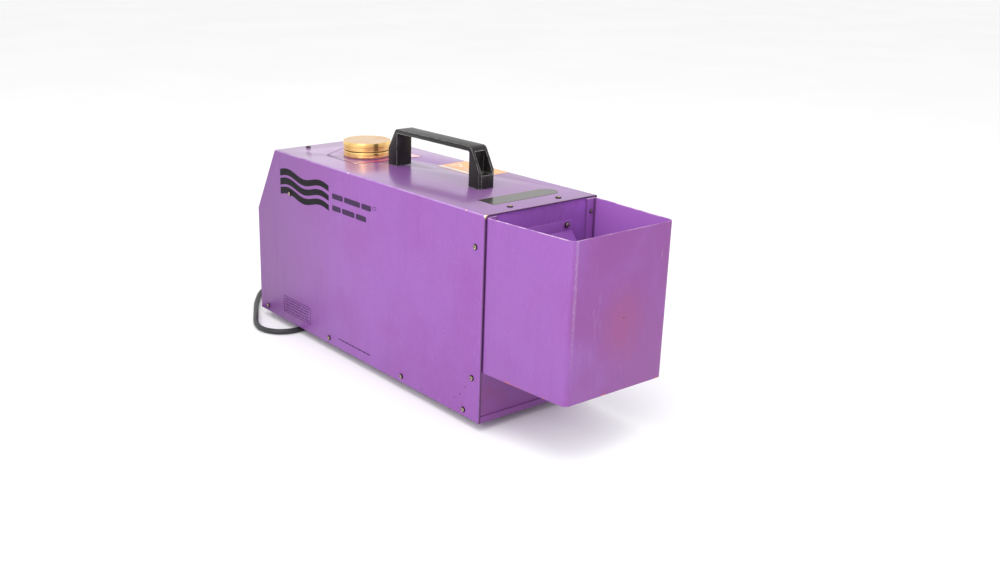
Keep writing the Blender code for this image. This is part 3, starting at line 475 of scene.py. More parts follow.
def paint(name, base, shade, wear=0.35, gloss=0.38, coat=0.04):
    """Purple powder coat: fine orange peel, streaks, blotches, chips down to primer and brass at its edges."""
    made = Finish(name, Coat_Weight=coat, Coat_Roughness=0.17, Specular_IOR_Level=0.38)
    stretch = (1, 1, 0.10)
    blotches = made.noise(9.0, 4.0)
    streaks = made.noise(850.0, 3.0, stretch)
    broad = made.noise(75.0, 4.0, stretch)
    made.colour(made.mix(made.ramp(blotches, 0.38, 0.66), base, shade))
    made.over(shifted(base, 1.18, 0.012), made.ramp(streaks, 0.48, 0.78), 0.60)
    made.over(shifted(base, 0.86), made.ramp(broad, 0.50, 0.78), 0.45)
    specks = made.ramp(made.cells(300.0), 0.16, 0.06)
    made.over((0.62, 0.48, 0.70), specks, made.patches(0.56, 0.66, 24.0, 2.0), 0.6)
    pits = made.ramp(made.cells(130.0), 0.10, 0.05)
    made.over((0.035, 0.015, 0.045), pits, made.patches(0.60, 0.68, 13.0, 2.0), 0.85)
    rim = made.edges(0.0011)
    chipped = made.both(rim, made.patches(0.60 - 0.1 * wear, 0.66 - 0.1 * wear, 120.0, 4.0))
    made.over((0.52, 0.34, 0.62), rim, 0.22 + 0.5 * wear)
    made.over((0.16, 0.07, 0.05), chipped)
    made.roughness(made.between(made.either(broad, streaks), gloss - 0.05, gloss + 0.12))
    peel = made.noise(900.0, 2.0)
    made.bump(made.math("ADD", peel, made.both(streaks, 0.35)), 0.00004, 0.35)
    return made


def moulded(name, base, roughness=0.5, grain=900.0, wear_and_highlight=0.3, depth=0.00005, shine=0.17, sheen=0.5):
    """Moulded plastic or rubber: fine grain, dust in its hollows and paler edges, which are wear and, where set
    strong, a painted highlight.
    """
    made = Finish(name, Specular_IOR_Level=sheen)
    cloud = made.noise(35.0, 4.0)
    fine = made.noise(grain, 3.0)
    made.colour(made.mix(made.ramp(cloud, 0.35, 0.70), base, shifted(base, 1.35, 0.004)))
    made.over(shifted(base, 1.5, 0.025), made.patches(0.56, 0.72, 150.0, 4.0), 0.30)
    rim = made.edges(0.0016, 0.004, 0.07)
    # Paler edges: wear, and on the handle, where the share is strong, a painted edge highlight.
    made.over(shifted(base, 2.0, shine), rim, made.patches(0.25, 0.60, 90.0, 3.0), wear_and_highlight)
    made.roughness(made.between(cloud, roughness - 0.08, roughness + 0.10))
    made.bump(fine, depth, 0.6)
    return made.material


def metal(name, base, tarnish, roughness=0.3, stretch=(1, 1, 1), grain=500.0, patches=0.5, scale=40.0):
    """Bare or plated metal: drawn or cast grain, tarnish in patches and brighter edges."""
    made = Finish(name, metallic=1.0)
    cloud = made.noise(scale, 5.0)
    lines = made.noise(grain, 3.0, stretch)
    made.colour(base)
    made.over(tarnish, made.ramp(cloud, 0.62 - 0.2 * patches, 0.72), 0.35 + 0.6 * patches)
    spots = made.ramp(made.cells(grain * 0.45), 0.13, 0.05)
    made.over(tarnish, spots, made.patches(0.52, 0.62, 60.0, 2.0))
    made.over(shifted(base, 1.3, 0.05), made.edges(0.0007), 0.5)
    made.roughness(made.between(made.either(cloud, lines), roughness - 0.08, roughness + 0.18))
    made.bump(lines, 0.00003, 0.4)
    return made.material


def screw_finish():
    """Brass tinted screw head, with a painted highlight on its crown and painted shade round its rim and in its
    recess.
    """
    made = Finish("screw_steel", metallic=1.0)
    cloud = made.noise(320.0, 4.0)
    made.colour(made.mix(made.ramp(cloud, 0.38, 0.66), (0.60, 0.52, 0.42), (0.26, 0.19, 0.13)))
    # Painted light: below the crown the head is painted dark, as shade round the rim and in the recess, and the
    # crown stays bright as a highlight.
    crown = made.along("Z", 0.0014, 0.0023)
    made.colour(made.mix(crown, (0.018, 0.012, 0.010), made.base))
    made.roughness(made.between(crown, 0.55, 0.20))
    made.bump(made.noise(900.0, 3.0), 0.00003, 0.4)
    return made.material


PURPLE = (0.266, 0.088, 0.376)
PURPLE_SHADE = (0.256, 0.074, 0.336)
# A lightened purple for the front panel, the tray and the cowl: painted light that makes up for the shade
# inside the hood.
LIGHTENED_INNER_PURPLE = (0.345, 0.112, 0.520)


def cover_paint(name, coat=0.04, gloss=0.38, reflection_share=0.0):
    """The cover's paint: painted shade towards the rear of the sides, a painted highlight and chips along its
    near top edge, chips at its front corner, a painted shadow along its front edge and a painted reflection on
    top.
    """
    made = paint(name, PURPLE, PURPLE_SHADE, coat=coat, gloss=gloss)
    # Painted light towards the rear: on the sides a darker purple, painted shade where less light falls; on top
    # a lighter purple, part of the painted reflection.
    rearward = made.along("X", REAR + 0.33, REAR)
    if reflection_share:
        made.over((0.400, 0.205, 0.450), rearward, 0.80)
        # On top, further forward: a grey-lavender cloud, a painted reflection of the surround in the glossy
        # coat.
        forward = made.along("X", REAR + 0.20, REAR + 0.46)
        cloud = made.patches(0.12, 0.58, 14.0, 4.0)
        made.over((0.200, 0.115, 0.225), forward, cloud, reflection_share)
    else:
        made.over((0.178, 0.050, 0.235), rearward, 0.85)
    # Painted highlight along the near top edge, broken into patches.
    edge = made.both(made.at("Y", -HALF, 0.0026), made.at("Z", TOP, 0.0026))
    made.over((0.56, 0.40, 0.68), edge, made.patches(0.20, 0.60, 30.0, 4.0), 0.75)
    for along, reach, tint in ((0.283, 0.0017, (0.9, 0.88, 0.9)), (0.318, 0.0012, (0.10, 0.04, 0.10)),
                               (0.436, 0.0012, (0.12, 0.05, 0.12)), (0.563, 0.0018, (0.80, 0.52, 0.26))):
        made.over(tint, spot(made, (REAR + along, -HALF, TOP), reach))
    # Painted shadow: a dark band along the front edge, for the gap to the front panel.
    front_shadow_gap = made.along("X", FRONT - 0.0024, FRONT - 0.0010)
    made.over((0.055, 0.012, 0.050), front_shadow_gap, 0.88)
    made.over((0.72, 0.45, 0.18), spot(made, (FRONT, -HALF, TOP), 0.0040))
    made.over((0.92, 0.88, 0.82), spot(made, (FRONT - 0.002, -HALF, TOP - 0.0005), 0.0023))
    for along, up in ((0.560, 0.030), (0.548, 0.021), (0.571, 0.044), (0.030, 0.052), (0.472, 0.006)):
        made.over((0.07, 0.02, 0.06), spot(made, (REAR + along, -HALF, BASE + up), 0.0014))
    return made.material


def spot(made, centre, reach):
    """A ragged spot round a point."""
    away = made.vector("DISTANCE", made.place, centre, "Value")
    ragged = made.math("ADD", away, made.both(made.noise(700.0, 2.0), reach * 1.2))
    return made.ramp(ragged, reach * 1.7, reach * 1.3)


def hood_paint():
    """The hood's paint: pinker in front, with a rubbed patch, wear and a painted highlight on the near bend,
    chips below, painted light on its inner faces and a painted highlight along its top edge.
    """
    made = paint("hood_paint", PURPLE, PURPLE_SHADE, wear=0.4)
    low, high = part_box("outlet_hood")
    tip = high.x
    ahead = made.along("X", tip - 0.006, tip)
    pinker = made.between(made.patches(0.36, 0.60, 9.0, 3.0), 0.25, 0.75)
    made.over((0.232, 0.056, 0.250), ahead, pinker)
    scratches = made.patches(0.60, 0.72, 420.0, 3.0, (1, 1, 0.07))
    scratches = made.both(scratches, made.patches(0.48, 0.62, 16.0, 2.0))
    made.over((0.46, 0.30, 0.52), ahead, scratches, 0.45)
    rub_centre, rub_scale = (tip, 0.006, BASE + 0.168), (1.0, 1.0 / 0.042, 1.0 / 0.062)
    offset = made.vector("MULTIPLY", made.vector("SUBTRACT", made.place, rub_centre), rub_scale)
    disc = made.ramp(made.vector("LENGTH", offset, output="Value"), 1.25, 0.05)
    fine = made.patches(0.10, 0.62, 240.0, 4.0, (1, 1, 0.5))
    rubbed = made.both(disc, made.patches(0.10, 0.60, 22.0, 3.0), fine, ahead)
    made.over((0.315, 0.060, 0.165), rubbed, 0.56)
    made.over((0.03, 0.01, 0.03), spot(made, (tip, 0.007, BASE + 0.176), 0.0012))
    # Near bend only: pale speckles, partly wear and partly a painted highlight.
    bend = made.both(made.at("Y", -0.0825, 0.0036), made.at("X", tip, 0.004))
    bend = made.both(bend, made.along("Z", BASE + 0.09, BASE + 0.21))
    made.over((0.60, 0.52, 0.64), bend, made.patches(0.50, 0.60, 1100.0, 3.0), 0.60)
    made.over((0.50, 0.12, 0.04), made.at("Z", low.z, 0.0035), made.patches(0.57, 0.61, 75.0, 4.0))
    # Painted light: faces that look into the hood are lightened, for light that reaches in there.
    inward = made.ramp(made.math("MULTIPLY", made.normal("Y"), made.axis("Y")), -0.01, -0.05)
    inside = made.either(inward, made.ramp(made.normal("X"), -0.6, -0.9))
    made.over((0.345, 0.120, 0.475), inside, 0.85)
    across = made.math("ABSOLUTE", made.axis("Y"))
    joint = (0.075, 0.012, 0.100)
    seam = made.along("X", PANEL_FACE + 0.0052, PANEL_FACE + 0.0030)
    made.over(joint, made.both(seam, made.ramp(across, 0.0950, 0.0965)), 0.92)
    free = made.along("X", PANEL_FACE + 0.0030, PANEL_FACE + 0.0022)
    made.over(joint, made.both(free, made.near(across, 0.0825, 0.0013)), 0.85)
    # Painted highlight along the top edge, broken into patches and weaker towards the front.
    upper = made.at("Z", high.z, 0.0014)
    made.over((0.75, 0.52, 0.74), upper, made.patches(0.35, 0.60, 55.0, 3.0), made.between(ahead, 0.85, 0.25))
    return made.material


def panel_paint():
    """Paint of the front panel and the tray, on a lightened purple that is painted light for the hood's
    interior, duller and redder low down.
    """
    made = paint("panel_paint", LIGHTENED_INNER_PURPLE, PURPLE, wear=0.2)
    low = made.along("Z", BASE + 0.110, BASE + 0.060)
    made.over((0.178, 0.050, 0.215), low, 0.85)
    stain = made.both(low, made.patches(0.45, 0.70, 30.0, 4.0), made.along("Y", 0.02, -0.09))
    made.over((0.200, 0.040, 0.130), stain, 0.35)
    return made.material


def brass(name, grooves=()):
    """Polished brass with tarnish, which gathers in the dark grooves at the given heights."""
    made = Finish(name, metallic=1.0)
    cloud = made.noise(48.0, 5.0)
    made.colour(made.mix(made.both(made.ramp(cloud, 0.45, 0.70), 0.7), (1.0, 0.70, 0.27), (0.80, 0.46, 0.15)))
    stains = made.both(made.ramp(made.cells(260.0), 0.20, 0.08), made.patches(0.44, 0.56, 70.0, 2.0))
    made.over((0.14, 0.07, 0.03), stains, 0.8)
    for height in grooves:
        band = made.at("Z", height, 0.0011)
        broken = made.patches(0.36, 0.56, 120.0, 2.0, (1, 1, 0.3))
        made.over((0.10, 0.045, 0.015), band, broken, 0.92)
    top = made.ramp(made.normal("Z"), 0.85, 0.98)
    made.over((0.76, 0.52, 0.38), top, 0.65)
    made.over((0.98, 0.80, 0.45), made.edges(0.0008), 0.6)
    turning = made.noise(900.0, 2.0, (0.08, 0.08, 1.0))
    made.roughness(made.between(made.either(cloud, turning), 0.16, 0.42))
    made.bump(turning, 0.00003, 0.35)
    return made.material


def clear(name, tint, roughness=0.03, transmission=1.0):
    """Clear or tinted moulding with faint ripples and fine scratches."""
    made = Finish(name, roughness, Transmission_Weight=transmission, IOR=1.49)
    ripples = made.noise(60.0, 2.0)
    made.colour(made.mix(made.ramp(ripples, 0.4, 0.7), tint, shifted(tint, 1.04)))
    scratches = made.patches(0.60, 0.72, 500.0, 2.0, (1, 0.05, 1))
    made.roughness(made.between(scratches, roughness, roughness + 0.15))
    made.bump(ripples, 0.00001, 0.3)
    return made.material


def ink(name, base, gloss=0.45, sheen=0.5, scuffed=0.12):
    """Screen print or vinyl: flat colour with scuffs and a few missing flecks."""
    made = Finish(name, Specular_IOR_Level=sheen)
    scuffs = made.patches(0.58, 0.74, 260.0, 4.0, (0.15, 1, 1))
    made.colour(made.mix(made.patches(0.35, 0.70, 30.0, 3.0), base, shifted(base, 0.82, 0.003)))
    made.over(shifted(base, 0.7, scuffed), scuffs, 0.35)
    made.roughness(made.between(scuffs, gloss, gloss + 0.25))
    made.bump(made.noise(800.0, 2.0), 0.00002, 0.3)
    return made.material


COVER = cover_paint("cover_paint")
# Top faces: a glossier coat and a painted reflection at a share of 0.65.
COVER_TOP = cover_paint("cover_top_paint", 0.72, 0.26, 0.65)
HOOD = hood_paint()
PANEL = panel_paint()
# The cowl's base is the lightened purple: painted light for the inside of the hood.
COWL = paint("cowl_paint", LIGHTENED_INNER_PURPLE, PURPLE, wear=0.4).material
ZINC = metal("zinc_sheet", (0.62, 0.63, 0.65), (0.44, 0.45, 0.47), 0.36, (1, 1, 1), 90.0, 0.8, 22.0)
# Handle: its strong pale edges are partly wear and partly a painted highlight.
NYLON = moulded("handle_nylon", (0.0075, 0.0060, 0.0055), 0.30, 1400.0, 0.95, shine=0.34, sheen=0.36)
FOOT = moulded("foot_rubber", (0.014, 0.014, 0.014), 0.78, 700.0, 0.25)
NECK = brass("neck_brass", (TOP + 0.0042,))
CAP_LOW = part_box("filler_cap")[1].z - 0.014
CAP = brass("cap_brass", (CAP_LOW + 0.0112, CAP_LOW + 0.0066, CAP_LOW + 0.0022))
INNER_BRASS = metal("inner_brass", (0.80, 0.58, 0.26), (0.45, 0.28, 0.12), 0.28, (1, 1, 1), 600.0, 0.4)
GASKET = moulded("gasket_rubber", (0.080, 0.036, 0.014), 0.60, 900.0, 0.1)
TANK = moulded("reservoir_plastic", (0.62, 0.61, 0.55), 0.42, 260.0, 0.1, 0.0001)
BLACK = moulded("black_plastic", (0.022, 0.022, 0.024), 0.46, 1200.0, 0.30)
KNOB = moulded("knob_plastic", (0.016, 0.016, 0.017), 0.38, 1500.0, 0.40)
WIRE = metal("guard_wire", (0.70, 0.71, 0.73), (0.40, 0.39, 0.38), 0.22, (1, 1, 1), 700.0, 0.3)
MOTOR = metal("motor_steel", (0.42, 0.43, 0.45), (0.25, 0.24, 0.23), 0.38, (0.05, 1, 1), 500.0, 0.5)
CAST = metal("cast_aluminium", (0.60, 0.61, 0.62), (0.42, 0.42, 0.42), 0.46, (1, 1, 1), 420.0, 0.6)
HOSE = moulded("hose_rubber", (0.020, 0.022, 0.026), 0.50, 600.0, 0.15)
STEEL = metal("gauge_steel", (0.68, 0.68, 0.68), (0.42, 0.41, 0.40), 0.20, (1, 1, 1), 800.0, 0.2)
SCREW = screw_finish()
NEEDLE = ink("needle_red", (0.62, 0.04, 0.03), 0.35)
LENS = clear("lens_glass", (0.97, 0.985, 0.98))
LAMP = clear("lamp_lens", (0.80, 0.06, 0.03), 0.10, 0.6)
BOARD = ink("circuit_board", (0.03, 0.20, 0.08), 0.35)
CORD = moulded("cord_rubber", (0.020, 0.020, 0.022), 0.46, 420.0, 0.10)
PLUG = moulded("plug_plastic", (0.022, 0.022, 0.023), 0.44, 1000.0, 0.30)
BLACK_INK = ink("black_print", (0.006, 0.004, 0.008), 0.60, 0.16, 0.045)
WHITE_INK = ink("white_print", (0.78, 0.78, 0.76))
DARK_INK = ink("dark_print", (0.042, 0.014, 0.066), 0.60, 0.25, 0.05)
ORANGE_VINYL = ink("orange_vinyl", (0.90, 0.42, 0.15), 0.30)
PINK_VINYL = ink("pink_vinyl", (0.86, 0.52, 0.56), 0.30)
RED_VINYL = ink("red_vinyl", (0.52, 0.06, 0.17), 0.26)
PLATE_VINYL = ink("plate_vinyl", (0.055, 0.050, 0.045), 0.16)
SILVER_FOIL = metal("silver_foil", (0.66, 0.67, 0.68), (0.50, 0.50, 0.50), 0.34, (0.05, 1, 1), 700.0, 0.2)
DIAL_FACE = ink("dial_face", (0.84, 0.84, 0.80), 0.40)


# Mains cord: the route's own points repeat the part's, and a loop winds the coil.
CORD_RADIUS = 0.0045
COIL_CENTRE = Vector((REAR - 0.083, 0.098))
COIL_WIDE = 0.0593
COIL_PITCH = 0.0094
COIL_TURNS = 1.708
COIL_START = math.radians(30)
LOWER_LAYER = 0.0047
UPPER_LAYER = 0.0138


def cord_route():
    """Out of the strain relief, down to the floor, round the rear corner and back under the case."""
    floor = CORD_RADIUS
    at_rear = (
        (-0.0452, 0.0240, BASE + 0.0320),
        (-0.0600, 0.0240, BASE + 0.0318),
        (-0.0780, 0.0205, BASE + 0.0265),
        (-0.0945, 0.0105, 0.0275),
        (-0.1045, -0.0060, 0.0170),
        (-0.1060, -0.0260, 0.0092),
        (-0.0985, -0.0430, 0.0058),
        (-0.0840, -0.0585, 0.0047),
        (-0.0640, -0.0740, floor),
        (-0.0430, -0.0885, floor),
        (-0.0200, -0.1025, floor),
        (0.0010, -0.1145, floor),
        (0.0220, -0.1265, floor),
        (0.0420, -0.1375, floor),
        (0.0620, -0.1455, floor),
        (0.0830, -0.1475, floor),
        (0.1030, -0.1400, floor),
        (0.1170, -0.1235, floor),
        (0.1215, -0.1020, floor),
        (0.1170, -0.0800, floor),
        (0.1060, -0.0590, floor),
        (0.0910, -0.0400, floor),
        (0.0740, -0.0220, floor),
        (0.0560, -0.0045, floor),
        (0.0390, 0.0140, floor),
        (0.0240, 0.0340, floor),
        (0.0105, 0.0550, floor),
        (-0.0020, 0.0765, floor),
        (-0.0130, 0.0955, floor),
    )
    return [Vector((REAR + x, y, z)) for x, y, z in at_rear]


def coil_point(turns):
    """A point of the coil: inwards on the floor, up over the last stretch, and outwards on top."""
    angle = COIL_START + math.tau * turns
    radius = COIL_WIDE - COIL_PITCH * (turns if turns < COIL_TURNS else 2 * COIL_TURNS - turns)
    climb = min(1.0, max(0.0, (turns - COIL_TURNS + 0.28) / 0.28))
    height = LOWER_LAYER + (UPPER_LAYER - LOWER_LAYER) * climb * climb * (3 - 2 * climb)
    return Vector((COIL_CENTRE.x + radius * math.cos(angle), COIL_CENTRE.y + radius * math.sin(angle), height))


def cord_points():
    """The whole line of the cord, from its strain relief to the plug's boot."""
    steps = 60
    made = cord_route()
    made += [coil_point(2 * COIL_TURNS * i / steps) for i in range(steps + 1)]
    made.append(Vector((REAR - 0.1423, 0.0800, 0.0139)))
    made.append(Vector((REAR - 0.1423, 0.0600, 0.0140)))
    return made


def power_cord():
    """The free cord, on one smooth curve through its points."""
    points = cord_points()
    curve = bpy.data.curves.new("mains_cord", "CURVE")
    curve.dimensions = "3D"
    curve.bevel_depth = CORD_RADIUS
    curve.bevel_resolution = 5
    curve.resolution_u = 6
    curve.use_fill_caps = True
    spline = curve.splines.new("BEZIER")
    spline.bezier_points.add(len(points) - 1)
    for point, at in zip(spline.bezier_points, points):
        point.co = at
        point.handle_left_type = "AUTO"
        point.handle_right_type = "AUTO"
    made = link_mesh("mains_cord", curve)
    return dress(made, CORD, replaces=("power_cord", "cord_coil"))


def coil_tie():
    """Hook and loop strap round the coil's bundle, with its free end on top."""
    inner, outer = 0.0384, 0.0644
    low, high = 0.0003, 0.0187
    loop = rounded([(inner, low), (outer, low), (outer, high), (inner, high)], (0.004,) * 4, 6, True)
    shape = bmesh.new()
    rows = [[shape.verts.new((p.x, across, p.y)) for p in loop] for across in (-0.007, 0.007)]
    bridge(shape, *rows, closed=True)
    band = thicken(from_bmesh("coil_tie", shape), 0.0005, 0.0)
    tail = box("tie_tail", (0.046, -0.0068, 0.0191), (0.0665, 0.0068, 0.0198))
    made = grouped("coil_tie", [band, soften(tail, 0.0003, 1)])
    put(made, (COIL_CENTRE.x, COIL_CENTRE.y, 0), (0, 0, math.radians(-78)))
    return dress(made, FOOT)


def plug():
    """Moulded mains plug: gripped sides, a ribbed boot, two flat blades and a round earth pin."""
    at = Vector((REAR - 0.1423, 0.0617, 0.0140))
    body = soften(box("body", (-0.0124, -0.0475, -0.0135), (0.0124, -0.0215, 0.0118)), 0.0042, 4)
    grips = []
    for side in (-1, 1):
        for number in range(5):
            y = -0.0425 + 0.0042 * number
            grips.append(rod("grip", (side * 0.0129, y, -0.0085), (side * 0.0129, y, 0.0068), 0.0011, 12))
    body = combined(body, *grips, operation="DIFFERENCE")
    rings = [(0.0052, -0.0006)]
    for number in range(7):
        y = -0.0010 - 0.0028 * number
        width = 0.0056 + 0.00042 * number
        rings += [(width, y), (width, y - 0.0016), (width - 0.0009, y - 0.0019), (width - 0.0009, y - 0.0026)]
    rings += [(0.0088, -0.0205), (0.0088, -0.0235), (0.0, -0.0235)]
    boot = turned("boot", [(0.0, -0.0006)] + rings, 40)
    # The boot is turned round Z and lies along Y.
    boot.matrix_world = Matrix.Rotation(-math.pi / 2, 4, "X")
    made = grouped("mains_plug", [soften(body, 0.0002, 1, 50), boot])
    put(made, at)
    smooth(made)
    dress(made, PLUG, replaces=("power_plug",))
    pins = []
    for x in (-0.00635, 0.00635):
        blade = box("blade", (x - 0.00075, -0.0655, -0.0032), (x + 0.00075, -0.0465, 0.0032))
        blade = soften(blade, 0.0005, 2)
        hole = rod("hole", (x - 0.003, -0.0615, 0), (x + 0.003, -0.0615, 0), 0.0015, 20)
        pins.append(combined(blade, hole, operation="DIFFERENCE"))
    pins.append(soften(rod("earth", (0, -0.0470, 0.0078), (0, -0.0650, 0.0078), 0.0024, 24), 0.0008, 3))
    blades = grouped("plug_pins", pins)
    put(blades, at)
    smooth(blades)
    dress(blades, STEEL)
    return [made, blades]


def gland():
    """Hexagonal gland nut, a dome, and a slotted strain relief that narrows along the cord."""
    nut = soften(rod("nut", (0, 0, -0.0017), (0, 0, 0.0062), 0.0122, 6), 0.0006, 2, 40)
    profile = [(0.0102, 0.0060), (0.0102, 0.0098), (0.0088, 0.0122)]
    start, end = 0.0122, 0.0447
    count = 10
    for number in range(count):
        radius = 0.0082 - 0.0026 * number / count
        step = (end - start) / count
        z = start + step * number
        profile += [(radius, z), (radius - 0.0001, z + step * 0.62), (radius - 0.0013, z + step * 0.68),
                    (radius - 0.0013, z + step * 0.97)]
    profile += [(0.0056, end - 0.0002), (0.0050, end)]
    profile = [(0.0046, end)] + list(reversed(profile)) + [(0.0046, 0.0060)]
    sleeve = turned("sleeve", profile, 40, closed=True)
    made = grouped("strain_relief", [nut, sleeve])
    exit_point = (REAR, *middle_of("cord_gland").yz)
    made.matrix_world = Matrix.Translation(exit_point) @ Matrix.Rotation(-math.pi / 2, 4, "Y")
    smooth(made, 40)
    return dress(made, BLACK, replaces=("cord_gland",))


mains_cord = power_cord()
relief = gland()
tie = coil_tie()
plug_pieces = plug()


# Case.
SLOPE_OUT = Vector((-CHAMFER_DROP, 0, CHAMFER_LENGTH)).normalized()
SLOPE_UP = Vector((CHAMFER_LENGTH, 0, CHAMFER_DROP)).normalized()
SLOPE_MIDDLE = Vector((REAR + CHAMFER_LENGTH / 2, 0, TOP - CHAMFER_DROP / 2)) - SLOPE_OUT * PANEL_INSET
SLOPE_AXES = Matrix((SLOPE_UP, SLOPE_OUT.cross(SLOPE_UP), SLOPE_OUT)).transposed()
SLOPE = Matrix.Translation(SLOPE_MIDDLE) @ SLOPE_AXES.to_4x4()
TOP_SIDE = Matrix.Translation((REAR, 0, TOP))


def wall(origin, turn):
    """The frame of an upright wall: its X runs along the wall, its Y up and its Z outwards."""
    return Matrix.Translation(origin) @ Matrix.Rotation(turn, 4, "Z") @ Matrix.Rotation(math.pi / 2, 4, "X")


RIGHT_SIDE = wall((REAR, -HALF, BASE), 0)
LEFT_SIDE = wall((FRONT, HALF, BASE), math.pi)
REAR_SIDE = wall((REAR + PANEL_INSET, 0, BASE), -math.pi / 2)


def cover():
    """Top and sides from one sheet, with rolled folds and the filler's opening."""
    shape = bmesh.new()
    roll = 0.0022
    section = rounded([(-HALF, BASE), (-HALF, TOP), (HALF, TOP), (HALF, BASE)], (roll, roll), 6)
    rows = [[shape.verts.new((x, p.x, p.y)) for p in section] for x in (REAR, FRONT)]
    for i in range(len(section) - 1):
        shape.faces.new((rows[0][i], rows[1][i], rows[1][i + 1], rows[0][i + 1]))
    bmesh.ops.bisect_plane(
        shape,
        geom=list(shape.verts) + list(shape.edges) + list(shape.faces),
        plane_co=Vector((REAR, 0, TOP - CHAMFER_DROP)),
        plane_no=SLOPE_OUT,
        clear_outer=True,
    )
    bmesh.ops.recalc_face_normals(shape, faces=shape.faces)
    shape.normal_update()
    if sum(f.normal.z for f in shape.faces) < 0:
        bmesh.ops.reverse_faces(shape, faces=shape.faces)
    made = thicken(from_bmesh("case_cover", shape))
    x = middle_of("filler_neck").x
    hole = rod("hole", (x, 0, TOP - 0.01), (x, 0, TOP + 0.01), 0.0295, 64)
    made = soften(combined(made, hole, operation="DIFFERENCE"), 0.00035, 2, 50)
    smooth(made, 40)
    dress(made, COVER, replaces=("cover_shell",))
    made.data.materials.append(COVER_TOP)
    for face in made.data.polygons:
        if face.normal.z > 0.97 and face.center.z > TOP - 0.0005:
            face.material_index = 1
    return made


def pan_head_mesh():
    """A pan head screw with a cross recess, its seat at the origin and its head along +Z."""
    head = 0.0042
    profile = [(0, 0.0026), (0.0016, 0.0025), (0.0028, 0.0021), (0.0037, 0.0014), (head, 0.0006)]
    profile += [(head, 0.0001), (0.0019, 0.0001), (0.0019, -0.0080), (0, -0.0083)]
    made = turned("screw", profile, 40)
    blades = []
    for angle in (0, math.pi / 2):
        blade = box("blade", (-0.0021, -0.00042, 0.0010), (0.0021, 0.00042, 0.0040))
        blade.matrix_world = Matrix.Rotation(angle, 4, "Z")
        blades.append(blade)
    made = combined(made, *blades, operation="DIFFERENCE")
    made = soften(made, 0.00012, 1, 50)
    smooth(made, 32)
    return made


def screws():
    """Every cover screw, and those of the hood and the cowl, from one mesh, each turned its own way."""
    master = pan_head_mesh()
    mesh = master.data
    bpy.data.objects.remove(master, do_unlink=True)
    turns = {"right": (math.pi / 2, 0, 0), "left": (-math.pi / 2, 0, 0), "top": (0, 0, 0)}
    for node in sorted(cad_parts):
        if not node.startswith("screw_"):
            continue
        side = node.split("_")[1]
        middle = middle_of(node)
        seats = {
            "right": (middle.x, -HALF, middle.z),
            "left": (middle.x, HALF, middle.z),
            "top": (middle.x, middle.y, TOP),
        }
        made = link_mesh(f"pan_{node}", mesh)
        put(made, seats[side], turns[side])
        made.matrix_world @= Matrix.Rotation(draws.uniform(0, math.pi), 4, "Z")
        dress(made, SCREW, replaces=(node,))
    hood_size, cowl_size = 0.72, 1.05
    seats = [(0.0018, side * 0.0910, z, hood_size) for side in (-1, 1) for z in (0.0960, 0.2726)]
    seats += [(0.0015, side * 0.0464, 0.2593, cowl_size) for side in (-1, 1)]
    for number, (out, across, up, size) in enumerate(seats, 1):
        turn = Matrix.Rotation(draws.uniform(0, math.pi), 4, "Z")
        front_screw(f"front_screw_{number}", mesh, (PANEL_FACE + out, across, BASE + up), turn, size)
    return mesh


def front_screw(name, mesh, seat, turn, size):
    """A screw of another size that faces forward."""
    made = link_mesh(name, mesh)
    facing = Matrix.Rotation(math.pi / 2, 4, "Y")
    made.matrix_world = Matrix.Translation(seat) @ facing @ turn @ Matrix.Scale(size, 4)
    dress(made, SCREW)


def feet():
    """Rubber feet with a rolled shoulder, two grooves and a recess below."""
    for node in sorted(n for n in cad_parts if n.startswith("foot_")):
        x, y, _ = middle_of(node)
        top = BASE + 0.0002
        profile = [(0.0, top + 0.0053), (0.0020, top + 0.0053), (0.0020, top), (0.0146, top)]
        profile += [(0.0150, top - 0.0005)]
        profile += [(0.0147, 0.0090), (0.0141, 0.0086), (0.0146, 0.0080), (0.0141, 0.0052), (0.0135, 0.0048)]
        profile += [(0.0139, 0.0042), (0.0134, 0.0012), (0.0122, 0.0), (0.0075, 0.0), (0.0068, 0.0008)]
        profile += [(0.0062, 0.0035), (0.0, 0.0035)]
        made = smooth(turned(f"rubber_{node}", profile, 48), 40)
        put(made, (x, y, 0))
        dress(made, FOOT, replaces=(node,))


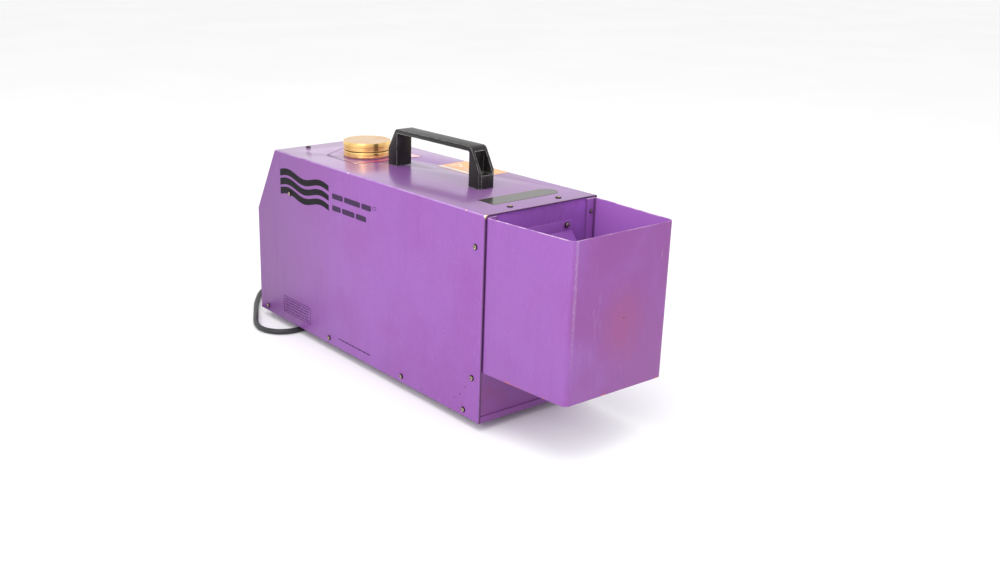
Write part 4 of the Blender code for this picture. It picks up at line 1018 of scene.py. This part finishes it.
# Handle.
def handle():
    """Moulded bridge: chamfered feet with pointed ends, ribbed legs that open outwards, and a flat bar."""
    low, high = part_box("handle")
    base, top = low.z, high.z
    rear, front = low.x, high.x
    half = (high.y - low.y) / 2
    leg, knee, slope, bar = 0.0255, 0.0195, 0.0225, 0.0068
    height = top - base
    corner = 0.0088
    small, knuckle, inner = 0.0006, 0.0012, 0.0030
    steps = 6
    outline = rounded(
        [(rear, 0), (rear, knee), (rear + slope, height), (front - slope, height), (front, knee), (front, 0),
         (front - leg, 0), (front - leg, height - bar), (rear + leg, height - bar), (rear + leg, 0)],
        (small, knuckle, corner, corner, knuckle, small, small, inner, inner, small), steps, True
    )
    # The outline starts with the arc of its last corner, which the fill of the plate depends on.
    outline = outline[-steps - 1:] + outline[:-steps - 1]
    side = plate("bridge_handle", [outline], 2 * half)
    side.matrix_world = Matrix.Translation((0, 0, base)) @ Matrix.Rotation(math.pi / 2, 4, "X")
    tip, cut_in = 0.0006, 0.0030
    end, start = tip + cut_in, -half + cut_in
    plan = [(rear, 0), (rear + tip, start), (rear + end, -half), (front - end, -half), (front - tip, start)]
    plan += [(front, 0), (front - tip, -start), (front - end, half), (rear + end, half), (rear + tip, -start)]
    block = plate("plan", [plan], 2 * height)
    block.location.z = base + height / 2
    made = combined(side, block, operation="INTERSECT")
    rib = 0.0038
    cutters = []
    for outer, inner in ((rear - 0.01, rear + leg - rib), (front - leg + rib, front + 0.01)):
        pocket = box("pocket", (outer, -half + rib, base + knee), (inner, half - rib, base + height - bar))
        cutters.append(soften(pocket, 0.0016, 3))
    made = combined(made, *cutters, operation="DIFFERENCE")
    made = soften(made, 0.0007, 3, 32)
    smooth(made, 40)
    dress(made, NYLON, replaces=("handle",))
    for number, x in enumerate((rear + 0.0115, front - 0.0115), 1):
        screw = link_mesh(f"handle_screw_{number}", SCREW_MESH)
        put(screw, (x, 0, base + knee))
        dress(screw, SCREW)


# Filler.
def filler():
    """Brass neck, gasket and screw cap, with turned grooves and fine knurling."""
    low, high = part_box("filler_neck")
    x, radius = middle_of("filler_neck").x, (high.x - low.x) / 2
    rise, bottom = high.z - TOP, low.z - TOP
    bore, throat = 0.025, 0.0285
    profile = [(bore, rise), (radius - 0.0010, rise), (radius - 0.0002, rise - 0.0006), (radius, rise - 0.0014)]
    profile += [(radius, 0.0052), (radius - 0.0005, 0.0047), (radius - 0.0005, 0.0040), (radius, 0.0035)]
    profile += [(radius, 0.0012), (radius - 0.0004, 0.0003), (throat, 0.0003), (throat, bottom), (bore, bottom)]
    neck = smooth(turned("brass_neck", profile, 96, closed=True), 40)
    put(neck, (x, 0, TOP))
    dress(neck, NECK, replaces=("filler_neck",))

    low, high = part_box("cap_gasket")
    rim = (high.x - low.x) / 2
    ring = [(rim, high.z - 0.0001), (rim + 0.0001, (low.z + high.z) / 2), (rim, low.z + 0.0001)]
    ring += [(rim - 0.0003, low.z), (bore + 0.001, low.z), (bore + 0.001, high.z), (rim - 0.0003, high.z)]
    gasket = smooth(turned("flat_gasket", ring, 96, closed=True), 50)
    put(gasket, (x, 0, 0))
    dress(gasket, GASKET, "cap_seal", ("cap_gasket",))

    low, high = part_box("filler_cap")
    lip = (high.x - low.x) / 2
    height = 0.0140
    plug_radius = bore - 0.0003
    profile = [(0, height - 0.0004), (lip - 0.0032, height - 0.0004), (lip - 0.0026, height)]
    profile += [(lip - 0.0010, height)]
    profile += [(lip - 0.0003, height - 0.0003), (lip, height - 0.0010), (lip, height - 0.0062)]
    profile += [(lip - 0.0008, height - 0.0067), (lip - 0.0008, height - 0.0075), (lip, height - 0.0080)]
    profile += [(lip, 0.0032), (lip - 0.0006, 0.0027), (lip - 0.0006, 0.0021), (lip, 0.0016), (lip, 0.0006)]
    profile += [(lip - 0.0005, 0), (plug_radius, 0)]
    depth = -0.0140
    for number in range(6):
        z = -0.0015 - 0.0019 * number
        profile += [(plug_radius, z), (plug_radius - 0.0007, z - 0.0009)]
    profile += [(plug_radius - 0.0007, depth), (0, depth)]
    cap = smooth(turned("brass_cap", profile, 96), 32)
    put(cap, (x, 0, high.z - height))
    dress(cap, CAP, "cap", ("filler_cap",))


# Outlet.
def hood():
    """Tapered deflector wrapped from one sheet, on two flanges."""
    low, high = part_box("outlet_hood")
    seat = PANEL_FACE + 0.0003 + SHEET / 2
    tip = high.x - SHEET / 2
    rear, front, flange = 0.0995 - SHEET / 2, 0.0895 - SHEET / 2, 0.017
    outline = [(seat, -rear + flange), (seat, -rear), (tip, -front)]
    outline += [(x, -y) for x, y in reversed(outline)]
    path = rounded(outline, (0.0025, 0.0085, 0.0085, 0.0025), 10)
    shape = bmesh.new()
    rows = [[shape.verts.new((p.x, p.y, z)) for p in path] for z in (low.z, high.z)]
    bridge(shape, *rows)
    made = soften(thicken(from_bmesh("deflector_hood", shape), SHEET, 0.0), 0.00035, 2, 50)
    smooth(made, 40)
    return dress(made, HOOD, replaces=("outlet_hood",))


def cowl():
    """Baffle over the fan: a screwed flange, a sloping plate and two cheeks, folded from one sheet."""
    low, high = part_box("outlet_cowl")
    seat, half = low.x, high.y
    bend, reach, bottom = BASE + 0.2505, FRONT + 0.064, BASE + 0.177
    shape = bmesh.new()
    slope = [(seat, high.z), (seat, bend), (reach, bottom)]
    rows = [[shape.verts.new((x, y, z)) for x, z in slope] for y in (-half, half)]
    for i in range(len(slope) - 1):
        shape.faces.new((rows[0][i], rows[1][i], rows[1][i + 1], rows[0][i + 1]))
    for side, row in zip((-half, half), rows):
        corner = shape.verts.new((seat, side, bottom))
        shape.faces.new((row[1], row[2], corner))
    bmesh.ops.recalc_face_normals(shape, faces=shape.faces)
    if shape.faces[:][0].normal.x < 0:
        bmesh.ops.reverse_faces(shape, faces=shape.faces)
    made = soften(thicken(from_bmesh("baffle_cowl", shape), 0.0012), 0.0005, 2, 40)
    smooth(made, 40)
    return dress(made, COWL, replaces=("outlet_cowl",))


def finger_guard():
    """Wire guard in front of the fan: five rings on four spokes, each with an eye round its screw."""
    middle = middle_of("fan_guard")
    x, z = middle.x + 0.0004, middle.z
    eyes = 0.0580
    wires = []
    for radius in (0.0085, 0.0165, 0.0245, 0.0325, 0.0410):
        circle = [(x + 0.0006, r, z + h) for r, h in arc((0, 0), radius, 0, 350, 36)]
        wires.append(tube("ring", circle, 0.00075, True, 2))
    directions = [(math.cos(a), math.sin(a)) for a in (math.radians(45 + 90 * number) for number in range(4))]
    for c, s in directions:
        spoke = [(x + 0.0002, r * c, z + r * s) for r in (0.0080, 0.0410, 0.0480, 0.0505, 0.0555)]
        wires.append(tube("spoke", spoke, 0.00085, False, 2))
        eye = [(x + 0.0002, eyes * c + u, z + eyes * s + v) for u, v in arc((0, 0), 0.0030, 0, 340, 18)]
        wires.append(tube("eye", eye, 0.00085, True, 2))
    guard = smooth(grouped("finger_guard", wires), 60)
    dress(guard, WIRE, replaces=("fan_guard",))
    for number, (c, s) in enumerate(directions, 1):
        seat = (PANEL_FACE + 0.0016, eyes * c, z + eyes * s)
        front_screw(f"guard_screw_{number}", SCREW_MESH, seat, Matrix.Identity(4), 0.8)


def fan_blade(steps=7, rows_across=6):
    """One twisted and cambered blade, from the hub outwards along Z."""
    root, tip, chord = 0.0170, 0.0420, 0.0180
    shape = bmesh.new()
    rows = []
    for i in range(steps + 1):
        radius = root + (tip - root) * i / steps
        pitch = math.radians(48 - 20 * i / steps)
        row = []
        for j in range(rows_across + 1):
            along = (j / rows_across - 0.5) * chord
            camber = 0.0016 * (1 - (2 * j / rows_across - 1) ** 2)
            around = (along * math.cos(pitch) + 0.0040 * (i / steps) ** 2) / radius
            depth = along * math.sin(pitch) + camber
            row.append(shape.verts.new((depth, radius * math.sin(around), radius * math.cos(around))))
        rows.append(row)
    for upper, lower in zip(rows, rows[1:]):
        bridge(shape, upper, lower)
    return thicken(from_bmesh("blade", shape), 0.0012, 0.0)


def fan_wheel():
    """Rotor: a hub with seven blades."""
    low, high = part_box("fan_rotor")
    half = (high.x - low.x) / 2
    profile = [(0, half - 0.0004), (0.0150, half - 0.0004), (0.0172, half - 0.0012), (0.0180, half - 0.0034)]
    profile += [(0.0180, -half + 0.0006), (0.0174, -half), (0, -half)]
    hub = turned("hub", profile, 64)
    hub.matrix_world = Matrix.Rotation(math.pi / 2, 4, "Y")
    blades = [hub]
    for number in range(7):
        blade = fan_blade()
        blade.matrix_world = Matrix.Rotation(math.tau * number / 7, 4, "X")
        blades.append(blade)
    rotor = smooth(grouped("fan_wheel", blades), 40)
    put(rotor, middle_of("fan_rotor"))
    dress(rotor, BLACK, "fan", ("fan_rotor",))


cover()
SCREW_MESH = screws()
feet()
handle()
filler()
hood()
finger_guard()
fan_wheel()
cowl()


# Controls on the slope.
def on_slope(made, along, across, out=0.0, turn=0.0):
    """Move a piece that is made round Z to its place on the sloping panel."""
    local = Matrix.Translation((along, across, out)) @ Matrix.Rotation(turn, 4, "Z")
    made.matrix_world = SLOPE @ local @ made.matrix_world
    return made


def digits(name, text, size, at, turn=0.0):
    """Flat printed numbers, 0.1 mm thick."""
    curve = bpy.data.curves.new(name, "FONT")
    curve.body = text
    curve.size = size
    curve.extrude = 0.00005
    curve.align_x = "CENTER"
    curve.align_y = "CENTER"
    curve.resolution_u = 3
    made = settled(link_mesh(name, curve))
    made.matrix_world = Matrix.Translation(at) @ Matrix.Rotation(turn, 4, "Z")
    return made


def tick(inner, outer, width, angle, height=0.0):
    """A printed mark between two radii. Angle 0 points up the slope, and angles grow clockwise."""
    made = box("tick", (inner, -width / 2, height), (outer, width / 2, height + 0.0001))
    made.matrix_world = Matrix.Rotation(-angle, 4, "Z")
    return made


UPRIGHT = -math.pi / 2
SWEEP = [math.radians(-135 + 27 * i) for i in range(11)]


def gauge():
    """Pressure gauge: a rolled bezel, a printed dial with ten steps, a red needle and a domed lens."""
    along, across = 0.0300, 0.0
    profile = [(0, 0.0029), (0.0188, 0.0029), (0.0188, 0.0031), (0.0188, 0.0066), (0.0192, 0.0070)]
    profile += [(0.0206, 0.0072), (0.0219, 0.0068), (0.0228, 0.0057), (0.0230, 0.0042), (0.0230, 0.0010)]
    profile += [(0.0226, 0.0003), (0.0203, 0.0003), (0.0203, -0.0215), (0.0198, -0.0220), (0, -0.0220)]
    can = turned("gauge_can", profile, 80)
    smooth(on_slope(can, along, across), 40)
    dress(can, STEEL, replaces=("pressure_gauge",))
    face = smooth(turned("gauge_dial", [(0, 0.0034), (0.0185, 0.0034), (0.0186, 0.0031), (0, 0.0031)], 64), 40)
    on_slope(face, along, across)
    dress(face, DIAL_FACE)
    marks = []
    for number, angle in enumerate(SWEEP):
        marks.append(tick(0.0145, 0.0172, 0.00055, angle, 0.00345))
        if number % 2 == 0:
            at = (0.0115 * math.cos(angle), -0.0115 * math.sin(angle), 0.0035)
            marks.append(digits("number", str(number), 0.0040, at, UPRIGHT))
        if number < 10:
            between = [angle + math.radians(27 * j / 4) for j in (1, 2, 3)]
            marks += [tick(0.0158, 0.0172, 0.0003, a, 0.00345) for a in between]
    scale = grouped("gauge_scale", marks)
    on_slope(scale, along, across)
    dress(scale, BLACK_INK)
    hub = turned("hub", [(0, 0.0054), (0.0014, 0.0053), (0.0020, 0.0048), (0.0020, 0.0043), (0, 0.0043)], 32)
    edge = [(-0.0052, -0.0010), (0, -0.0007), (0.0150, -0.00018)]
    blade = plate("blade", [edge + [(x, -y) for x, y in reversed(edge)]], 0.0003)
    blade.matrix_world = Matrix.Translation((0, 0, 0.0047)) @ Matrix.Rotation(math.radians(135), 4, "Z")
    needle = smooth(grouped("red_needle", [hub, blade]), 40)
    on_slope(needle, along, across)
    dress(needle, NEEDLE, "needle", ("gauge_needle",))
    dome = [(0, 0.0068), (0.0080, 0.00665), (0.0140, 0.0063), (0.0184, 0.0059), (0.0184, 0.0056), (0, 0.0056)]
    lens = smooth(turned("dial_lens", dome, 64), 30)
    on_slope(lens, along, across)
    dress(lens, LENS, replaces=("gauge_lens",))


def knob(name, node, body, along, across, radius, height, shaft):
    """Fluted knob with a skirt and a white pointer line."""
    low, high = 0.0038, height
    steps = 96
    shape = bmesh.new()
    levels = [(low, 1.0, 0.0), (0.0046, 1.0, 0.0), (0.0052, 0.90, 0.5), (0.0060, 0.88, 1.0)]
    levels += [(high - 0.0022, 0.84, 1.0), (high - 0.0009, 0.80, 0.5), (high - 0.0002, 0.72, 0.0)]
    levels += [(high, 0.64, 0.0)]
    rings = []
    for z, share, flute in levels:
        ring = []
        for i in range(steps):
            angle = math.tau * i / steps
            dip = 1.0 - 0.055 * flute * max(0.0, math.cos(12 * angle)) ** 2
            reach = radius * share * dip
            ring.append(shape.verts.new((reach * math.cos(angle), reach * math.sin(angle), z)))
        rings.append(ring)
    for lower, upper in zip(rings, rings[1:]):
        bridge(shape, lower, upper, closed=True)
    shape.faces.new(rings[-1])
    shape.faces.new(list(reversed(rings[0])))
    items = [from_bmesh("grip", shape)]
    if shaft:
        items.append(rod("shaft", (0, 0, -0.0100), (0, 0, 0.0040), shaft, 24))
    lowest = math.radians(135)
    grip = smooth(grouped(name, items), 40)
    on_slope(grip, along, across, 0, lowest)
    dress(grip, KNOB, body, (node,))
    line = box(f"{name}_line", (radius * 0.25, -0.0005, high - 0.0003), (radius * 0.66, 0.0005, high + 0.0003))
    line = soften(line, 0.0001, 1)
    on_slope(line, along, across, 0, lowest)
    dress(line, WHITE_INK, body)
    marks = []
    for number, angle in enumerate(SWEEP):
        marks.append(tick(radius + 0.0022, radius + (0.0036 if number % 5 else 0.0046), 0.0005, angle))
    for number in (0, 5, 10):
        reach = radius + 0.0072
        at = (reach * math.cos(SWEEP[number]), -reach * math.sin(SWEEP[number]), 0.00005)
        marks.append(digits("number", str(number), 0.0034, at, UPRIGHT))
    scale = grouped(f"{name}_scale", marks)
    on_slope(scale, along, across)
    dress(scale, WHITE_INK)


def switch():
    """Rocker switch: a rounded bezel round an open well, and a dished rocker with its on and off signs."""
    along, across = 0.0040, 0.0600
    length, width = 0.0285, 0.0190
    x, y = length / 2, width / 2
    wall_inset, well_inset = 0.0024, 0.0032
    outer = rounded([(-x, -y), (x, -y), (x, y), (-x, y)], (0.0016,) * 4, 5, True)
    bezel = plate("switch_bezel", [outer], 0.0019)
    bezel.location.z = 0.0003 + 0.00095
    body = box("body", (-x + wall_inset, -y + wall_inset, -0.0180), (x - wall_inset, y - wall_inset, 0.0012))
    well = box("well", (-x + well_inset, -y + well_inset, -0.0060), (x - well_inset, y - well_inset, 0.0100))
    case = soften(combined(combined(bezel, body), well, operation="DIFFERENCE"), 0.0004, 2, 40)
    smooth(on_slope(case, along, across), 40)
    dress(case, BLACK, replaces=("switch_frame",))
    half = length / 2 - 0.0042
    angles = [math.pi - math.pi * i / 12 for i in range(13)]
    upper = [(half * math.cos(a), 0.0026 + 0.0022 * math.cos(a) ** 2) for a in angles]
    side = upper + [(half, 0.0004), (0.0040, -0.0030), (-0.0040, -0.0030), (-half, 0.0004)]
    rocker = plate("rocker_key", [side], width - 0.0075, 0.0003)
    tilt = Matrix.Rotation(math.radians(9), 4, "Y")
    rocker.matrix_world = tilt @ Matrix.Rotation(math.pi / 2, 4, "X")
    smooth(on_slope(rocker, along, across), 40)
    dress(rocker, BLACK, "rocker", ("power_rocker",))
    bar = box("on", (0.0036, -0.0005, 0.0), (0.0072, 0.0005, 0.0001))
    rise = math.atan2(0.0016, half * 0.6)
    bar.matrix_world = Matrix.Translation((0, 0, 0.0029)) @ Matrix.Rotation(-rise, 4, "Y")
    ring = plate("off", [arc((-0.0055, 0), 0.0022, 0, 350, 30), arc((-0.0055, 0), 0.0014, 0, 350, 30)], 0.0001)
    ring.matrix_world = Matrix.Translation((0, 0, 0.0030)) @ Matrix.Rotation(rise, 4, "Y")
    signs = grouped("rocker_signs", [bar, ring])
    signs.matrix_world = tilt @ signs.matrix_world
    on_slope(signs, along, across)
    dress(signs, WHITE_INK, "rocker")


def lamp_lens():
    """Red panel lamp: a chromed collar and a ribbed dome."""
    along, across = 0.0360, 0.0600
    collar = [(0.0041, 0.0026), (0.0050, 0.0026), (0.0058, 0.0019), (0.0058, 0.0003), (0.0043, 0.0003)]
    collar += [(0.0043, -0.0118), (0.0041, -0.0118)]
    ring = smooth(turned("lamp_collar", collar, 48, closed=True), 40)
    on_slope(ring, along, across)
    dress(ring, STEEL)
    dome = [(0, 0.0046), (0.0012, 0.0045), (0.0024, 0.0041), (0.0034, 0.0033), (0.0039, 0.0024)]
    dome += [(0.0039, -0.0110), (0, -0.0110)]
    lens = smooth(turned("lamp_dome", dome, 40), 50)
    on_slope(lens, along, across)
    dress(lens, LAMP, replaces=("ready_lamp",))


# Marks and labels: plain bars and waves in place of lettering.
def printed(name, outlines, finish, face, height=0.0001, thickness=0.00016):
    """Flat marks on a face, one for each outline. An outline may be a list of a rim and its holes."""
    items = []
    for outline in outlines:
        loops = outline if isinstance(outline[0], list) else [outline]
        items.append(plate("mark", loops, thickness))
    made = grouped(name, items)
    made.matrix_world = face @ Matrix.Translation((0, 0, height))
    return dress(made, finish)


def bar(low_x, low_y, high_x, high_y, corner=0.0):
    """A rectangular outline, with round corners if asked."""
    points = [(low_x, low_y), (high_x, low_y), (high_x, high_y), (low_x, high_y)]
    if corner:
        return rounded(points, (corner,) * 4, 4, True)
    return points


def wave(low_x, high_x, middle, rise, thick_start, thick_end, periods=1.5, count=28):
    """A wavy bar that drifts along X and gets thicker or thinner."""
    upper, lower = [], []
    for i in range(count + 1):
        share = i / count
        x = low_x + (high_x - low_x) * share
        y = middle + rise * math.sin(math.tau * periods * share)
        half = (thick_start + (thick_end - thick_start) * share) / 2
        upper.append((x, y + half))
        lower.append((x, y - half))
    return lower + list(reversed(upper))


def dashes(start, last, end, low, high, shortest, longest, gap=0.0022):
    """A row of printed dashes of random lengths: the last one starts before last and stops at end."""
    made = []
    while start < last:
        tip = min(start + draws.uniform(shortest, longest), end)
        made.append(bar(start, low, tip, high))
        start = tip + gap
    return made


def outlined(rim, hole):
    """A printed frame between two outlines."""
    return [rim, list(reversed(hole))]


def side_marks(face, name):
    """Three bold fog waves, two thin broken lines, a small outlined box of lines and a fine row of dashes."""
    waves = [wave(0.079, 0.228, z, 0.0042, 0.0115, 0.0092) for z in (0.2595, 0.2440, 0.2285)]
    printed(f"{name}_waves", waves, BLACK_INK, face)
    upper_ends = ((0.238, 0.268), (0.272, 0.315), (0.319, 0.344))
    lower_ends = ((0.238, 0.262), (0.266, 0.300), (0.304, 0.331))
    lines = []
    for z, ends in ((0.2500, upper_ends), (0.2310, lower_ends)):
        lines += [bar(start, z - 0.0042, end, z + 0.0042, 0.0020) for start, end in ends]
    inner = bar(0.3486, 0.2506, 0.3564, 0.2544, 0.0006)
    lines.append(outlined(bar(0.3480, 0.2500, 0.3570, 0.2550, 0.0008), inner))
    printed(f"{name}_lines", lines, DARK_INK, face)
    inner = bar(0.0808, 0.0158, 0.1652, 0.0432, 0.0010)
    notes = [outlined(bar(0.080, 0.0150, 0.166, 0.0440, 0.0015), inner)]
    for row in range(5):
        z = 0.0195 + 0.0050 * row
        notes += dashes(0.085, 0.158, 0.161, z - 0.0007, z + 0.0007, 0.006, 0.020)
    notes += dashes(0.252, 0.338, 0.343, 0.0153, 0.0171, 0.004, 0.013, 0.0020)
    printed(f"{name}_notes", notes, DARK_INK, face)


def top_labels():
    """Marks on top: an outlined field and signs round the filler, an orange label and a dark plate."""
    x, y, _ = middle_of("filler_neck") - Vector((REAR, 0, 0))
    corners = [(0.051, -0.058), (0.065, 0.064), (-0.022, 0.066), (-0.075, 0.008), (-0.038, -0.0535)]
    edge = [(x + along, y + across) for along, across in corners]
    middle = sum((Vector(corner) for corner in edge), Vector((0, 0))) / len(edge)
    inset = [middle + (Vector(corner) - middle) * 0.988 for corner in edge]
    printed("filler_label", [outlined(edge, inset)], DARK_INK, TOP_SIDE, 0.00012)
    band = [(x + 0.0430, y - 0.0555), (x + 0.0500, y - 0.0560), (x + 0.0600, y + 0.0300)]
    band += [(x + 0.0470, y + 0.0300)]
    printed("filler_label_band", [band], RED_VINYL, TOP_SIDE, 0.00012)
    far_sign = [(x + 0.0585, y + 0.0450), (x + 0.0645, y + 0.0632), (x + 0.0275, y + 0.0640)]
    near_sign = [(x + 0.0400, y - 0.0568), (x + 0.0500, y - 0.0572), (x + 0.0515, y - 0.0440)]
    printed("filler_label_sign", [far_sign, near_sign], PINK_VINYL, TOP_SIDE, 0.00030)
    printed("orange_label", [bar(0.320, 0.040, 0.422, 0.098, 0.002)], ORANGE_VINYL, TOP_SIDE, 0.00012)
    pale = [bar(0.3215, 0.0415, 0.4205, 0.0480, 0.001)]
    pale += [bar(0.365, z, 0.412, z + 0.0022) for z in (0.056, 0.062, 0.068, 0.074)]
    triangle = [(0.330, 0.054), (0.352, 0.0665), (0.330, 0.079)]
    hollow = [(0.3328, 0.0585), (0.3470, 0.0665), (0.3328, 0.0745)]
    pale.append(outlined(triangle, hollow))
    printed("orange_label_print", pale, WHITE_INK, TOP_SIDE, 0.00028)
    strip = [(0.532, -0.055), (0.565, -0.055)] + arc((0.5485, 0.0565), 0.0165, 0, 180, 14)
    printed("serial_plate", [strip], PLATE_VINYL, TOP_SIDE, 0.00020, 0.0003)


def rear_plate():
    """Rating plate on the rear wall: foil with printed lines."""
    printed("rating_plate", [bar(0.022, 0.020, 0.077, 0.062, 0.002)], SILVER_FOIL, REAR_SIDE, 0.00018, 0.0003)
    lines = []
    for row in range(6):
        y = 0.0570 - 0.0060 * row
        lines += dashes(0.026, 0.067, 0.073, y - 0.0008, y + 0.0008, 0.005, 0.016)
    printed("rating_plate_lines", lines, BLACK_INK, REAR_SIDE, 0.00042)


gauge()
knob("pressure_grip", "regulator_knob", "pressure_knob", -0.0160, 0.0, 0.0125, 0.0165, None)
knob("speed_grip", "speed_knob", "fan_speed_knob", 0.0040, -0.0600, 0.0130, 0.0180, 0.0030)
switch()
lamp_lens()
side_marks(RIGHT_SIDE, "right")
side_marks(LEFT_SIDE, "left")
top_labels()
rear_plate()


# CAD nodes that keep their shape and take a finish.
def keep(finish, *nodes):
    """Give carried-over CAD nodes their finish."""
    for node in nodes:
        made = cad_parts[node]
        made.data.materials.clear()
        made.data.materials.append(finish)


keep(PANEL, "front_panel", "base_tray")
keep(COVER, "rear_panel")
keep(ZINC, "reservoir_strap")
keep(BLACK, "haze_duct", "fan_frame")
keep(TANK, "reservoir")
keep(INNER_BRASS, "atomiser", "pressure_regulator")
keep(MOTOR, "compressor_motor", "power_supply")
keep(CAST, "compressor_head")
keep(FOOT, "compressor_mount_rear", "compressor_mount_front")
keep(HOSE, "supply_hose", "atomiser_hose")
keep(BOARD, "control_board")


# Stage: a pale floor, a pale surround and broad soft lamps.
def studio_floor():
    """A wide pale floor."""
    shape = bmesh.new()
    bmesh.ops.create_grid(shape, x_segments=1, y_segments=1, size=30.0)
    floor = from_bmesh("floor", shape)
    made = Finish("floor_paper", 0.9)
    made.colour(made.mix(made.ramp(made.noise(1.5, 3.0), 0.3, 0.7), (0.92, 0.92, 0.925), (0.94, 0.94, 0.945)))
    floor.data.materials.append(made.material)
    floor.location.z = -0.0005


def lamp(name, at, aim, size, power):
    """A square soft light aimed at a point."""
    data = bpy.data.lights.new(name, "AREA")
    data.shape = "SQUARE"
    data.size = size
    data.energy = power
    made = bpy.data.objects.new(name, data)
    bpy.context.scene.collection.objects.link(made)
    made.location = at
    made.rotation_mode = "QUATERNION"
    made.rotation_quaternion = (Vector(aim) - Vector(at)).to_track_quat("-Z", "Y")


def studio_light():
    """Even light from a pale surround, with a key from the right side and a top lamp."""
    world = bpy.data.worlds.new("surround")
    world.use_nodes = True
    world.node_tree.nodes["Background"].inputs["Color"].default_value = (1.0, 1.0, 1.0, 1.0)
    world.node_tree.nodes["Background"].inputs["Strength"].default_value = 1.0
    bpy.context.scene.world = world
    lamp("key", (1.2, -2.5, 1.5), (0.15, 0, 0.15), 1.6, 26)
    lamp("above", (0.5, -0.5, 2.4), (0.2, 0, 0.1), 1.8, 24)


studio_floor()
studio_light()

bpy.context.view_layer.update()
